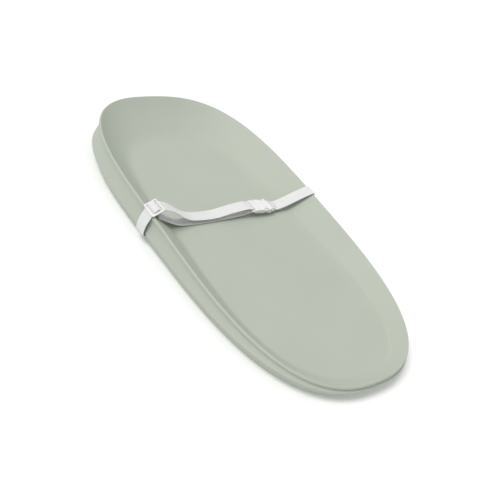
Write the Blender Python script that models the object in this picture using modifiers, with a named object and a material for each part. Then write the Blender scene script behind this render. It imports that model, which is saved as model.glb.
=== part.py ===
# Changing mat: one moulded foam pad with a webbing safety strap.
# The strap has a slider on the left rim and a side release buckle in the dish.
# Units are metres. X points to the head end, Y to the left side, Z up.
# The origin is on the floor under the middle of the pad.

import math

import bmesh
import bpy
from mathutils import Matrix, Vector

# Main sizes of the pad
PAD_LENGTH = 0.800
PAD_WIDTH = 0.421
HEAD_HEIGHT = 0.078
MIDDLE_HEIGHT = 0.063
FOOT_HEIGHT = 0.034
FLOOR_MIDDLE = 0.0265
FLOOR_RISE = 0.006
HEAD_ROUNDNESS_SHARE = 2.65
FOOT_ROUNDNESS_SHARE = 2.40
SIDE_FULLNESS_SHARE = 0.16

# Parting line, lower band and cove of the side
CREASE_HEAD = 0.0252
CREASE_FOOT = 0.0235
CREASE_LIP = 0.0016
BAND_INSET = 0.0125
BAND_FOOT_RISE = 0.004
REST_INSET = 0.0165
COVE_INSET = 0.0046
COVE_SHARES = ((0.22, 0.40), (0.50, 0.90), (0.78, 1.0))

# Crest of the rim and slope of the dish
CREST_INSET = 0.0045
CREST_EASE = 0.0026
CREST_DROP = 0.0042
SLOPE_SIDE = 0.072
SLOPE_END = 0.100
SLOPE_RISE = 0.044
SLOPE_STEP_SHARES = (0.06, 0.33, 0.60, 0.72, 0.79, 0.86, 0.93, 1.0)
SLOPE_STRAIGHT_SHARE = 0.72

# Rings of the underside, from the outside in: shift of the centre, step inwards at
# the sides, step inwards at the ends, height, height at the head end
REST_INNER = (-0.0040, 0.0170, 0.0170, 0.0, 0.0)
RIM_SHOULDER = (-0.0060, 0.0045, 0.0055, 0.0020, 0.0020)
RIM_INNER = (-0.0080, 0.0030, 0.0035, 0.0065, 0.0065)
GROOVE_OUTER = (-0.0090, 0.0025, 0.0045, 0.0160, 0.0120)
GROOVE_INNER = (-0.0120, 0.0075, 0.0070, 0.0160, 0.0160)
LEDGE_OUTER = (-0.0130, 0.0050, 0.0035, 0.0100, 0.0185)
LEDGE_INNER = (-0.0200, 0.0125, 0.0230, 0.0095, 0.0225)
LINE_GROOVE = (-0.0205, 0.0018, 0.0015, 0.0120, 0.0225)
RING_SHOULDER = (-0.0210, 0.0027, 0.0020, 0.0070, 0.0075)
RING_OUTER = (-0.0220, 0.0040, 0.0035, 0.0040, 0.0040)
RING_INNER = (-0.0220, 0.0090, 0.0100, 0.0040, 0.0040)
FIELD_SHOULDER = (-0.0220, 0.0035, 0.0035, 0.0055, 0.0055)
UNDER_RINGS = (
    REST_INNER,
    RIM_SHOULDER,
    RIM_INNER,
    GROOVE_OUTER,
    GROOVE_INNER,
    LEDGE_OUTER,
    LEDGE_INNER,
    LINE_GROOVE,
    RING_SHOULDER,
    RING_OUTER,
    RING_INNER,
    FIELD_SHOULDER,
)
HEAD_BLEND_START = 0.100
HEAD_BLEND_END = 0.270

# Egg crate field under the dish
WAVE_LENGTH = 0.090
WAVE_WIDTH = 0.078
WAVE_HEIGHT = 0.0048
WAVE_LEVEL = 0.0100
WAVE_PITCH = 0.0095
FIELD_INSET = 0.0030
FIELD_ROUNDNESS_SHARE = 2.8

# Webbing, its slots in the sides, and the pockets and ribs inside them
STRAP_X = 0.054
WEB_WIDTH = 0.0250
WEB_THICKNESS = 0.0014
FIT_GAP = 0.0003
SLOT_ROOM_FOOT = 0.0020
SLOT_ROOM_HEAD = 0.0090
SLOT_LOW = 0.0150
SLOT_HEIGHT = 0.0050
POCKET_HALF = 0.0960
POCKET_INSET = 0.0422
POCKET_WIDTH = 0.0255
POCKET_TOP = 0.0210
RIB_OFFSET = 0.0810
RIB_THICKNESS = 0.0050
RIB_BOTTOM = 0.0075
RIB_TOP = 0.0220
RIB_ROOT_IN = 0.0115
RIB_ROOT_OUT = 0.0047
OVERRUN = 0.010

# Side release buckle, lying on the dish floor along Y
BAR_TO_CREST = 0.1049
BUCKLE_LIFT = 0.0052
BUCKLE_TILT = math.radians(5.0)
CHEEK_WIDTH = 0.0028
WEB_ROOM = 0.0006
BUCKLE_WIDTH = WEB_WIDTH + 2.0 * (WEB_ROOM + CHEEK_WIDTH + 2.0 * FIT_GAP)
FEMALE_THICKNESS = 0.0100
FEMALE_WALL = 0.0016
FEMALE_SIDE_WALL = 0.0020
WINDOW_START = 0.0120
WINDOW_LENGTH = 0.0130
WINDOW_WALL = 0.0009
TIP_ROOM = 0.0040
END_WALL = 0.0040
CAVITY_DEPTH = WINDOW_START + WINDOW_LENGTH + TIP_ROOM
FEMALE_LENGTH = CAVITY_DEPTH + END_WALL
FEMALE_BAR_GAP = 0.0042
FEMALE_BAR = 0.0034
MALE_BASE_LENGTH = 0.0120
MALE_THICKNESS = 0.0084
MALE_BAR_GAP = 0.0050
MALE_BAR = 0.0036
BAR_THICKNESS = 0.0036
GUIDE_WIDTH = 0.0060
GUIDE_ROOM = 0.0050
GUIDE_LENGTH = CAVITY_DEPTH - GUIDE_ROOM
TONGUE_THICKNESS = 0.0050
ARM_PROUD = 0.0002
ARM_ROOT_SHARES = ((0.683, 0.067), (0.717, 0.008), (0.869, 0.008), (0.903, 0.067))
ARM_STEM_SHARES = ((0.924, 0.5), (0.952, 0.983))
ARM_CATCH_SHARES = (
    (0.05, 0.031),
    (0.86, 0.038),
    (1.0, 0.09),
    (1.0, 0.54),
    (0.68, 0.81),
    (0.05, 0.94),
)
ARM_TIP_SHARES = (
    (0.96, 1.0),
    (0.88, 1.11),
    (0.79, 1.14),
    (0.73, 1.06),
    (0.76, 0.46),
    (0.77, 0.0),
)
ARM_BACK_SHARE = 0.5
ARM_PIVOT_SHARES = (0.79, 0.10)

# Slider on the crest of the left rim
SLIDER_LENGTH = 0.0260
SLIDER_THICKNESS = 0.0026
SLIDER_RIM = 0.0030
SLIDER_ROOM = 0.0015
SLIDER_WIDTH = WEB_WIDTH + 2.0 * (SLIDER_ROOM + SLIDER_RIM)
SLIDER_BAR = 0.0040
SLIDER_TILT = math.radians(29.0)
SLIDER_IN = 0.0058
SLIDER_LIFT = 0.0080

# Sewn ends
STITCH_WIRE = 0.0004
STITCH_PITCH = 0.0018
TACK_MARGIN = 0.0025

# Route of the strap. Each table holds shares of the run and of the rise between
# two places that the strap meets.
RISER_REACH = 0.0068
CREST_OVER = 0.0008
CREST_LIFT = 0.0022
TURN_GAP = 0.0004
TURN_STEPS = 8
UNDER_GAP = 0.0004
RAMP_SHARES = ((0.0, 0.0), (0.20, 0.13), (0.51, 0.57), (0.83, 0.94), (1.0, 1.0))
SEWN_END_SHARES = ((0.246, -0.035), (0.173, -0.082), (0.085, -0.100), (0.038, -0.110))
CLIMB_SHARES = (
    (0.038, 0.060),
    (0.062, 0.015),
    (0.090, -0.028),
    (0.150, -0.025),
    (0.230, 0.016),
    (0.301, 0.080),
    (0.395, 0.205),
    (0.497, 0.344),
    (0.625, 0.534),
    (0.757, 0.715),
    (0.890, 0.880),
    (1.0, 1.0),
)
TACK_POINT_COUNT = 2
RIGHT_RISER_SHARES = (
    (-0.19, 0.96),
    (0.15, 0.825),
    (0.31, 0.59),
    (0.34, 0.34),
    (0.28, 0.155),
    (0.07, 0.05),
    (-0.29, 0.01),
    (-0.88, 0.0),
)
LEFT_RISER_SHARES = (
    (-0.88, 0.0),
    (0.0, 0.014),
    (0.47, 0.097),
    (0.69, 0.262),
    (0.69, 0.476),
    (0.43, 0.67),
    (0.07, 0.815),
)
EXIT_SHARES = ((1.248, -1.27), (1.634, -2.34))
UPPER_SHARES = (
    (0.146, 0.861),
    (0.202, 0.588),
    (0.278, 0.172),
    (0.366, -0.165),
    (0.467, -0.311),
    (0.567, -0.350),
    (0.636, -0.325),
    (0.707, -0.221),
    (0.779, -0.090),
    (0.847, -0.007),
    (0.897, 0.045),
    (0.947, 0.080),
    (0.987, 0.010),
)
UPPER_POINT_COUNT = 7
FLOOR_LIFT = 0.0013
LOWER_SHARES = (
    (0.016, 1.0),
    (0.055, 0.80),
    (0.115, 0.50),
    (0.190, 0.35),
    (0.310, 0.20),
    (0.480, 0.06),
    (0.720, 0.03),
)
LOWER_POINT_COUNT = 5
SLOPE_STRAP_SHARES = (
    (-0.25, 0.09),
    (-0.05, 0.17),
    (0.15, 0.30),
    (0.32, 0.43),
    (0.50, 0.57),
    (0.66, 0.69),
    (0.78, 0.80),
)
RUN_SHARES = (
    (-0.885, -0.553),
    (-0.785, -0.532),
    (-0.615, -0.17),
    (-0.438, 0.426),
    (-0.262, 0.851),
    (0.0, 1.0),
    (0.262, 0.894),
    (0.477, 0.404),
    (0.654, -0.213),
    (0.808, -0.553),
    (1.0, -0.702),
)
TAB_SHARES = (
    (0.360, -2.80),
    (0.440, -1.90),
    (0.450, -1.064),
    (0.415, -0.383),
    (0.308, 0.234),
    (0.177, 0.489),
    (0.0, 0.553),
    (-0.169, 0.489),
    (-0.262, 0.277),
    (-0.292, 0.0),
    (-0.262, -0.277),
    (-0.154, -0.511),
    (0.031, -0.68),
    (0.160, -1.064),
    (0.200, -1.90),
    (0.110, -2.80),
)
SLIDER_TACK_SHARES = ((0.550, -1.277), (0.541, -2.02))

EDGE_ROUND = 0.0010
RING_POINTS = 88
CURVE_STEPS = 3
WELD = 0.00001


def clear_scene():
    for item in list(bpy.data.objects):
        bpy.data.objects.remove(item, do_unlink=True)


def make_collection(name):
    group = bpy.data.collections.new(name)
    bpy.context.scene.collection.children.link(group)
    return group


def material(name, colour, roughness):
    mat = bpy.data.materials.new(name)
    mat.use_nodes = True
    shader = mat.node_tree.nodes["Principled BSDF"]
    shader.inputs["Base Color"].default_value = colour
    shader.inputs["Roughness"].default_value = roughness
    mat.diffuse_color = colour
    return mat


def add_object(name, bm, mat, group):
    bmesh.ops.remove_doubles(bm, verts=bm.verts, dist=WELD)
    bmesh.ops.recalc_face_normals(bm, faces=bm.faces)
    mesh = bpy.data.meshes.new(name)
    bm.to_mesh(mesh)
    bm.free()
    item = bpy.data.objects.new(name, mesh)
    if mat is not None:
        mesh.materials.append(mat)
    group.objects.link(item)
    return item


def set_origin(item, point):
    shift = Vector(point)
    for vert in item.data.vertices:
        vert.co -= shift
    item.location = shift


def mark_cutter(item):
    item.hide_render = True
    item.display_type = "WIRE"


def boolean(item, tool, operation):
    step = item.modifiers.new(tool.name, "BOOLEAN")
    step.operation = operation
    step.solver = "EXACT"
    step.object = tool


def bevel(item, width, segments=2):
    step = item.modifiers.new("rounding", "BEVEL")
    step.width = width
    step.segments = segments
    step.limit_method = "ANGLE"
    step.angle_limit = math.radians(40.0)


# Roundness of the outline on the side of one end
def roundness(x):
    return HEAD_ROUNDNESS_SHARE if x > 0.0 else FOOT_ROUNDNESS_SHARE


def fullness(reach):
    return 1.0 + SIDE_FULLNESS_SHARE * reach * reach


# Outline of the pad: a rounded oblong with its own roundness at each end
def oblong(centre, half_length, half_width, power=None):
    points = []
    for index in range(RING_POINTS):
        turn = 2.0 * math.pi * index / RING_POINTS
        cosine = math.cos(turn)
        sine = math.sin(turn)
        bend = 2.0 / (power or roundness(cosine))
        x = math.copysign(abs(cosine) ** bend, cosine) * half_length
        y = math.copysign(abs(sine) ** bend, sine) * half_width
        points.append((centre + x, y * fullness(x / half_length)))
    return points


def pad_ring(inset_x, inset_y=None, centre=0.0):
    if inset_y is None:
        inset_y = inset_x
    return oblong(centre, PAD_LENGTH / 2.0 - inset_x, PAD_WIDTH / 2.0 - inset_y)


# Half width of that outline at one place along the pad
def half_width_at(x, inset_x, inset_y, centre=0.0):
    reach = (x - centre) / (PAD_LENGTH / 2.0 - inset_x)
    power = roundness(reach)
    round_share = (1.0 - abs(reach) ** power) ** (1.0 / power)
    return (PAD_WIDTH / 2.0 - inset_y) * round_share * fullness(reach)


def crest_height(x):
    share = x / (PAD_LENGTH / 2.0)
    tilt = (HEAD_HEIGHT - FOOT_HEIGHT) / 2.0
    bend = (HEAD_HEIGHT + FOOT_HEIGHT) / 2.0 - MIDDLE_HEIGHT
    return MIDDLE_HEIGHT + tilt * share + bend * share * share


def crease_height(x):
    share = x / (PAD_LENGTH / 2.0)
    middle = (CREASE_HEAD + CREASE_FOOT) / 2.0
    return middle + (CREASE_HEAD - CREASE_FOOT) / 2.0 * share


def floor_height(x):
    return FLOOR_MIDDLE + FLOOR_RISE * x / (PAD_LENGTH / 2.0)


# Height of the wall over the floor: straight at first, then eased into the floor
def slope_profile(share):
    steepness = 2.0 / (1.0 + SLOPE_STRAIGHT_SHARE)
    if share < SLOPE_STRAIGHT_SHARE:
        return 1.0 - steepness * share
    rest = 1.0 - share
    return rest * rest * steepness / (2.0 * (1.0 - SLOPE_STRAIGHT_SHARE))


def smooth_share(value, low, high):
    share = min(1.0, max(0.0, (value - low) / (high - low)))
    return share * share * (3.0 - 2.0 * share)


# Rings of the underside, from the middle out
def under_rings():
    rings = []
    side = REST_INSET
    end = REST_INSET
    for shift, side_step, end_step, height, head_height in UNDER_RINGS:
        side += side_step
        end += end_step
        ring = []
        for x, y in pad_ring(end, side, shift):
            share = smooth_share(x, HEAD_BLEND_START, HEAD_BLEND_END)
            ring.append((x, y, height + (head_height - height) * share))
        rings.append(ring)
    return list(reversed(rings))


# Distance of one ring of the underside from the outline: at the ends, at the sides
def under_inset(name):
    side = REST_INSET
    end = REST_INSET
    for row in UNDER_RINGS:
        side += row[1]
        end += row[2]
        if row is name:
            break
    return (end, side)


def side_rings():
    rings = []
    rings.append([(x, y, 0.0) for x, y in pad_ring(REST_INSET)])
    low_edge = BAND_INSET + CREASE_LIP
    rings.append([(x, y, CREASE_LIP / 2.0) for x, y in pad_ring(low_edge)])
    rings.append([(x, y, BAND_FOOT_RISE) for x, y in pad_ring(BAND_INSET)])
    below = []
    for x, y in pad_ring(CREASE_LIP / 2.0):
        below.append((x, y, crease_height(x) - CREASE_LIP))
    rings.append(below)
    rings.append([(x, y, crease_height(x)) for x, y in pad_ring(0.0)])
    above = []
    for x, y in pad_ring(CREASE_LIP / 4.0):
        above.append((x, y, crease_height(x) + CREASE_LIP))
    rings.append(above)
    for climb, depth in COVE_SHARES:
        cove = []
        for x, y in pad_ring(COVE_INSET * depth):
            low = crease_height(x)
            top = crest_height(x) - CREST_DROP
            cove.append((x, y, low + (top - low) * climb))
        rings.append(cove)
    shoulder = []
    for x, y in pad_ring(CREST_INSET - CREST_EASE):
        shoulder.append((x, y, crest_height(x) - CREST_DROP))
    rings.append(shoulder)
    ease = []
    for x, y in pad_ring(CREST_INSET - CREST_EASE / 2.0):
        ease.append((x, y, crest_height(x) - CREST_DROP / 4.0))
    rings.append(ease)
    return rings


# The wall has the same steepness all round, so it is narrower where the rim is lower
def dish_rings():
    rings = []
    crest = pad_ring(CREST_INSET)
    foot = pad_ring(CREST_INSET + SLOPE_END, CREST_INSET + SLOPE_SIDE)
    rings.append([(x, y, crest_height(x)) for x, y in crest])
    for share in SLOPE_STEP_SHARES:
        ring = []
        for (crest_x, crest_y), (foot_x, foot_y) in zip(crest, foot):
            rise = crest_height(crest_x) - floor_height(crest_x)
            run = share * rise / SLOPE_RISE
            x = crest_x + (foot_x - crest_x) * run
            y = crest_y + (foot_y - crest_y) * run
            ring.append((x, y, floor_height(x) + rise * slope_profile(share)))
        rings.append(ring)
    return rings


def loft(name, rings, mat, group):
    bm = bmesh.new()
    rows = []
    for ring in rings:
        rows.append([bm.verts.new(point) for point in ring])
    count = len(rows[0])
    for lower, upper in zip(rows, rows[1:]):
        for index in range(count):
            after = (index + 1) % count
            corners = (lower[index], lower[after], upper[after], upper[index])
            bm.faces.new(corners)
    bm.faces.new(list(reversed(rows[0])))
    bm.faces.new(rows[-1])
    bmesh.ops.triangulate(bm, faces=bm.faces)
    return add_object(name, bm, mat, group)


def box(name, low, high, mat, group):
    bm = bmesh.new()
    bmesh.ops.create_cube(bm, size=1.0)
    for vert in bm.verts:
        for axis in range(3):
            span = high[axis] - low[axis]
            middle = (high[axis] + low[axis]) / 2.0
            vert.co[axis] = middle + vert.co[axis] * span
    return add_object(name, bm, mat, group)


# A flat plate cut to an outline in X and Y, standing from low to high
def plate(name, outline, low, high, mat, group):
    bm = bmesh.new()
    verts = [bm.verts.new((x, y, low)) for x, y in outline]
    face = bm.faces.new(verts)
    grown = bmesh.ops.extrude_face_region(bm, geom=[face])
    for part in grown["geom"]:
        if isinstance(part, bmesh.types.BMVert):
            part.co.z = high
    return add_object(name, bm, mat, group)


def egg_crate_cutter(group):
    shift = FIELD_SHOULDER[0]
    end, side = under_inset(FIELD_SHOULDER)
    half_length = PAD_LENGTH / 2.0 - end - FIELD_INSET
    half_width = PAD_WIDTH / 2.0 - side - FIELD_INSET
    bm = bmesh.new()
    half_x = half_length + OVERRUN
    half_y = half_width + OVERRUN
    steps_x = round(2.0 * half_x / WAVE_PITCH)
    steps_y = round(2.0 * half_y / WAVE_PITCH)
    bmesh.ops.create_grid(bm, x_segments=steps_x, y_segments=steps_y, size=1.0)
    for vert in bm.verts:
        along = vert.co.x * half_x
        across = vert.co.y * half_y
        wave_x = math.cos(2.0 * math.pi * along / WAVE_LENGTH)
        wave_y = math.cos(2.0 * math.pi * across / WAVE_WIDTH)
        vert.co = (shift + along, across, WAVE_LEVEL + WAVE_HEIGHT * wave_x * wave_y)
    grown = bmesh.ops.extrude_face_region(bm, geom=list(bm.faces))
    for part in grown["geom"]:
        if isinstance(part, bmesh.types.BMVert):
            part.co.z = -OVERRUN
    wave = add_object("egg_crate_wave", bm, None, group)
    outline = oblong(shift, half_length, half_width, FIELD_ROUNDNESS_SHARE)
    rings = []
    for height in (-OVERRUN / 2.0, WAVE_LEVEL + OVERRUN):
        rings.append([(x, y, height) for x, y in outline])
    field = loft("egg_crate_field", rings, None, group)
    boolean(field, wave, "INTERSECT")
    mark_cutter(wave)
    mark_cutter(field)
    return field


# Distances from the middle line of the pocket beside the strap, inner and outer
def pocket_reach():
    outer = PAD_WIDTH / 2.0 - POCKET_INSET
    return (outer - POCKET_WIDTH, outer)


# Box of a cutter or rib on one side: across is along X, out is away from the middle
def side_box(name, across, out, height, sign, group):
    ends = sorted((sign * out[0], sign * out[1]))
    low = (across[0], ends[0], height[0])
    high = (across[1], ends[1], height[1])
    tool = box(name, low, high, None, group)
    mark_cutter(tool)
    return tool


def build_pad(mat, group, tools):
    rings = under_rings() + side_rings() + dish_rings()
    pad = loft("pad_shell", rings, mat, group)
    boolean(pad, egg_crate_cutter(tools), "DIFFERENCE")
    pocket_in, pocket_out = pocket_reach()
    rib_out = (pocket_in - RIB_ROOT_IN, pocket_out + RIB_ROOT_OUT)
    slot_foot = STRAP_X - WEB_WIDTH / 2.0 - SLOT_ROOM_FOOT
    slot_head = STRAP_X + WEB_WIDTH / 2.0 + SLOT_ROOM_HEAD
    slot_out = (pocket_out - OVERRUN, PAD_WIDTH / 2.0 + OVERRUN)
    for side, sign in (("left", 1.0), ("right", -1.0)):
        pocket = side_box(
            "strap_pocket_" + side,
            (STRAP_X - POCKET_HALF, STRAP_X + POCKET_HALF),
            (pocket_in, pocket_out),
            (-OVERRUN, POCKET_TOP),
            sign,
            tools,
        )
        boolean(pad, pocket, "DIFFERENCE")
        for place, way in (("head", 1.0), ("foot", -1.0)):
            middle = STRAP_X + way * RIB_OFFSET
            rib = side_box(
                "rib_" + side + "_" + place,
                (middle - RIB_THICKNESS / 2.0, middle + RIB_THICKNESS / 2.0),
                rib_out,
                (RIB_BOTTOM, RIB_TOP),
                sign,
                tools,
            )
            boolean(pad, rib, "UNION")
        slot = side_box(
            "strap_slot_" + side,
            (slot_foot, slot_head),
            slot_out,
            (SLOT_LOW, SLOT_LOW + SLOT_HEIGHT),
            sign,
            tools,
        )
        boolean(pad, slot, "DIFFERENCE")
    return pad


# Webbing: a strip swept along a line of the Y Z plane, then given thickness
def webbing(name, line, mat, group):
    bm = bmesh.new()
    left = STRAP_X - WEB_WIDTH / 2.0
    verts = [bm.verts.new((left, y, z)) for y, z in line]
    edges = []
    for start, end in zip(verts, verts[1:]):
        edges.append(bm.edges.new((start, end)))
    grown = bmesh.ops.extrude_edge_only(bm, edges=edges)
    for part in grown["geom"]:
        if isinstance(part, bmesh.types.BMVert):
            part.co.x += WEB_WIDTH
    mesh = bpy.data.meshes.new(name)
    bmesh.ops.recalc_face_normals(bm, faces=bm.faces)
    bm.to_mesh(mesh)
    bm.free()
    mesh.materials.append(mat)
    item = bpy.data.objects.new(name, mesh)
    group.objects.link(item)
    step = item.modifiers.new("thickness", "SOLIDIFY")
    step.thickness = WEB_THICKNESS
    step.offset = 0.0
    step.use_even_offset = True
    return item


# Hermite line with slopes weighted by the spacing of the points
def smooth_line(points, steps):
    times = [0.0]
    for start, end in zip(points, points[1:]):
        times.append(times[-1] + math.dist(start, end))
    last = len(points) - 1
    slopes = []
    for index in range(last + 1):
        low = max(index - 1, 0)
        high = min(index + 1, last)
        span = times[high] - times[low]
        slope_y = (points[high][0] - points[low][0]) / span
        slope_z = (points[high][1] - points[low][1]) / span
        slopes.append((slope_y, slope_z))
    line = []
    for index in range(last):
        span = times[index + 1] - times[index]
        for step in range(steps):
            t = step / steps
            start_share = 2.0 * t ** 3 - 3.0 * t ** 2 + 1.0
            start_slope = (t ** 3 - 2.0 * t ** 2 + t) * span
            end_share = 3.0 * t ** 2 - 2.0 * t ** 3
            end_slope = (t ** 3 - t ** 2) * span
            place = []
            for axis in range(2):
                value = start_share * points[index][axis]
                value += start_slope * slopes[index][axis]
                value += end_share * points[index + 1][axis]
                value += end_slope * slopes[index + 1][axis]
                place.append(value)
            line.append(tuple(place))
    line.append(points[last])
    return line


# Places that the strap meets, as Y and Z in its middle plane
def crest_place():
    side = half_width_at(STRAP_X, CREST_INSET, CREST_INSET)
    return (side, crest_height(STRAP_X))


def side_reach():
    return half_width_at(STRAP_X, 0.0, 0.0)


def slot_level():
    return SLOT_LOW + SLOT_HEIGHT / 2.0


def buckle_level():
    return floor_height(STRAP_X) + FEMALE_THICKNESS / 2.0 + BUCKLE_LIFT


def female_bar_y():
    return BAR_TO_CREST - crest_place()[0]


def mouth_y():
    return female_bar_y() + FEMALE_LENGTH + FEMALE_BAR_GAP + FEMALE_BAR / 2.0


# Place on the middle plane of the buckle, which is higher at its male end
def on_buckle(y):
    bar = female_bar_y()
    run = y - bar
    level = buckle_level() + run * math.sin(BUCKLE_TILT)
    return (bar + run * math.cos(BUCKLE_TILT), level)


def male_bar_place():
    bar = mouth_y() + MALE_BASE_LENGTH + MALE_BAR_GAP + MALE_BAR / 2.0
    return on_buckle(bar)


def slider_place():
    y, z = crest_place()
    return (y - SLIDER_IN, z + SLIDER_LIFT)


# Place on the slider: distance inwards along it, height over it
def on_slider(along, over):
    y, z = slider_place()
    y += over * math.sin(SLIDER_TILT) - along * math.cos(SLIDER_TILT)
    z += over * math.cos(SLIDER_TILT) + along * math.sin(SLIDER_TILT)
    return (y, z)


def slider_points(shares):
    weave = SLIDER_THICKNESS / 2.0 + 2.0 * WEB_THICKNESS + 2.0 * FIT_GAP
    reach = SLIDER_LENGTH / 2.0
    return [on_slider(along * reach, over * weave) for along, over in shares]


# Points given as shares of the way between two places
def between(start, end, shares):
    points = []
    for run, rise in shares:
        y = start[0] + (end[0] - start[0]) * run
        z = start[1] + (end[1] - start[1]) * rise
        points.append((y, z))
    return points


# Half turn of the webbing round a bar, from one face of the bar to the other
def bar_turn(place, bar, sign, start, end):
    radius = math.hypot(bar / 2.0, BAR_THICKNESS / 2.0)
    radius += WEB_THICKNESS / 2.0 + TURN_GAP
    points = []
    for step in range(TURN_STEPS + 1):
        angle = math.radians(start + (end - start) * step / TURN_STEPS)
        across = place[0] + sign * radius * math.cos(angle)
        points.append((across, place[1] + radius * math.sin(angle)))
    return points


def over_crest(sign):
    y, z = crest_place()
    return (sign * (y + CREST_OVER), z + CREST_LIFT)


def riser(sign, shares):
    top = over_crest(sign)
    points = []
    for out, climb in shares:
        y = sign * (side_reach() + RISER_REACH * out)
        points.append((y, slot_level() + (top[1] - slot_level()) * climb))
    return points


# From the ring of the underside out to the slot
def ramp(sign):
    end, side = under_inset(RING_OUTER)
    ring = half_width_at(STRAP_X, end, side, RING_OUTER[0])
    low = (sign * ring, RING_OUTER[3] - UNDER_GAP - WEB_THICKNESS / 2.0)
    high = (sign * pocket_reach()[1], slot_level())
    return between(low, high, RAMP_SHARES)


# Where the wall of the dish meets its floor
def slope_foot():
    base = floor_height(STRAP_X)
    rise = crest_height(STRAP_X) - base
    crest = crest_place()[0]
    inset_x = CREST_INSET + SLOPE_END
    inset_y = CREST_INSET + SLOPE_SIDE
    foot = half_width_at(STRAP_X, inset_x, inset_y)
    return (crest + (foot - crest) * rise / SLOPE_RISE, base)


# From the sewn end round the female bar, over the right rim and down to its slot
def right_line():
    bar = (female_bar_y(), buckle_level())
    top = over_crest(-1.0)
    line = between(bar, top, SEWN_END_SHARES)
    line += bar_turn(bar, FEMALE_BAR, 1.0, -80.0, 80.0)
    line += between(bar, top, CLIMB_SHARES)
    return line + riser(-1.0, RIGHT_RISER_SHARES)


# From slot to slot under the pad
def under_line():
    return list(reversed(ramp(-1.0))) + ramp(1.0)


def upper_line():
    bar, level = male_bar_place()
    radius = math.hypot(MALE_BAR / 2.0, BAR_THICKNESS / 2.0)
    top = level + radius + WEB_THICKNESS / 2.0 + TURN_GAP
    place = slider_place()
    points = slider_points(EXIT_SHARES)
    for run, rise in UPPER_SHARES:
        y = place[0] + (bar - place[0]) * run
        points.append((y, top + (place[1] - top) * rise))
    return points


def lower_line():
    bar, level = male_bar_place()
    radius = math.hypot(MALE_BAR / 2.0, BAR_THICKNESS / 2.0)
    start = level - radius - WEB_THICKNESS / 2.0 - TURN_GAP
    low = floor_height(STRAP_X) + FLOOR_LIFT
    reach = slope_foot()[0]
    points = []
    for run, rise in LOWER_SHARES:
        y = bar + (reach - bar) * run
        points.append((y, low + (start - low) * rise))
    return points + between(slope_foot(), crest_place(), SLOPE_STRAP_SHARES)


def pulled_end(line, first):
    index, other = (0, 1) if first else (-1, -2)
    end = Vector(line[index])
    way = (Vector(line[other]) - end).normalized()
    fixed = list(line)
    fixed[index] = tuple(end + way * FIT_GAP)
    return fixed


def build_strap(mat, group):
    right_points = right_line()
    under_points = under_line()
    left_points = riser(1.0, LEFT_RISER_SHARES)
    fixed = smooth_line(right_points + under_points + left_points, CURVE_STEPS)
    right_cut = (len(right_points) - 1) * CURVE_STEPS
    left_cut = (len(right_points) + len(under_points)) * CURVE_STEPS
    webbing("strap_right_side", fixed[: right_cut + 1], mat, group)
    half = pulled_end(fixed[right_cut : left_cut + 1], True)
    webbing("strap_under_pad", half, mat, group)
    webbing("strap_left_side", pulled_end(fixed[left_cut:], True), mat, group)

    run = slider_points(RUN_SHARES)
    upper_points = upper_line()
    whole = smooth_line([left_points[-1]] + run + upper_points[:1], CURVE_STEPS)
    whole = whole[:-CURVE_STEPS]
    webbing("strap_slider_run", pulled_end(whole, True), mat, group)

    upper = smooth_line(run[-2:] + upper_points, CURVE_STEPS)[CURVE_STEPS:]
    cut = (UPPER_POINT_COUNT + 1) * CURVE_STEPS
    half = pulled_end(upper[: cut + 1], True)
    webbing("strap_upper_layer", half, mat, group)

    tab = list(reversed(slider_points(TAB_SHARES)))
    lower_points = lower_line()
    lower = smooth_line(lower_points + tab, CURVE_STEPS)
    low_cut = LOWER_POINT_COUNT * CURVE_STEPS
    half = pulled_end(lower[low_cut:], True)
    webbing("strap_sewn_layer", half, mat, group)

    turn = [upper_points[-1]]
    turn += bar_turn(male_bar_place(), MALE_BAR, -1.0, 80.0, -80.0)
    turn.append(lower_points[0])
    bend = smooth_line(turn, CURVE_STEPS)
    loop = upper[cut:-1] + bend[:-1] + lower[: low_cut + 1]
    webbing("strap_buckle_loop", pulled_end(loop, True), mat, group)


def tilt_with_buckle(item):
    pivot = Vector((STRAP_X, female_bar_y(), buckle_level()))
    turn = Matrix.Rotation(BUCKLE_TILT, 4, "X")
    item.data.transform(Matrix.Translation(pivot) @ turn @ Matrix.Translation(-pivot))


# Boxes of the buckle: along counts from the mouth of the female half, to the right
def buckle_box(name, across, along, height, mat, group):
    level = buckle_level()
    low = (STRAP_X + across[0], mouth_y() - along[1], level + height[0])
    high = (STRAP_X + across[1], mouth_y() - along[0], level + height[1])
    item = box(name, low, high, mat, group)
    tilt_with_buckle(item)
    return item


def cut_box(item, name, across, along, height, group):
    tool = buckle_box(name, across, along, height, None, group)
    mark_cutter(tool)
    boolean(item, tool, "DIFFERENCE")


def join_box(item, name, across, along, height, group):
    tool = buckle_box(name, across, along, height, None, group)
    mark_cutter(tool)
    boolean(item, tool, "UNION")


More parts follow.
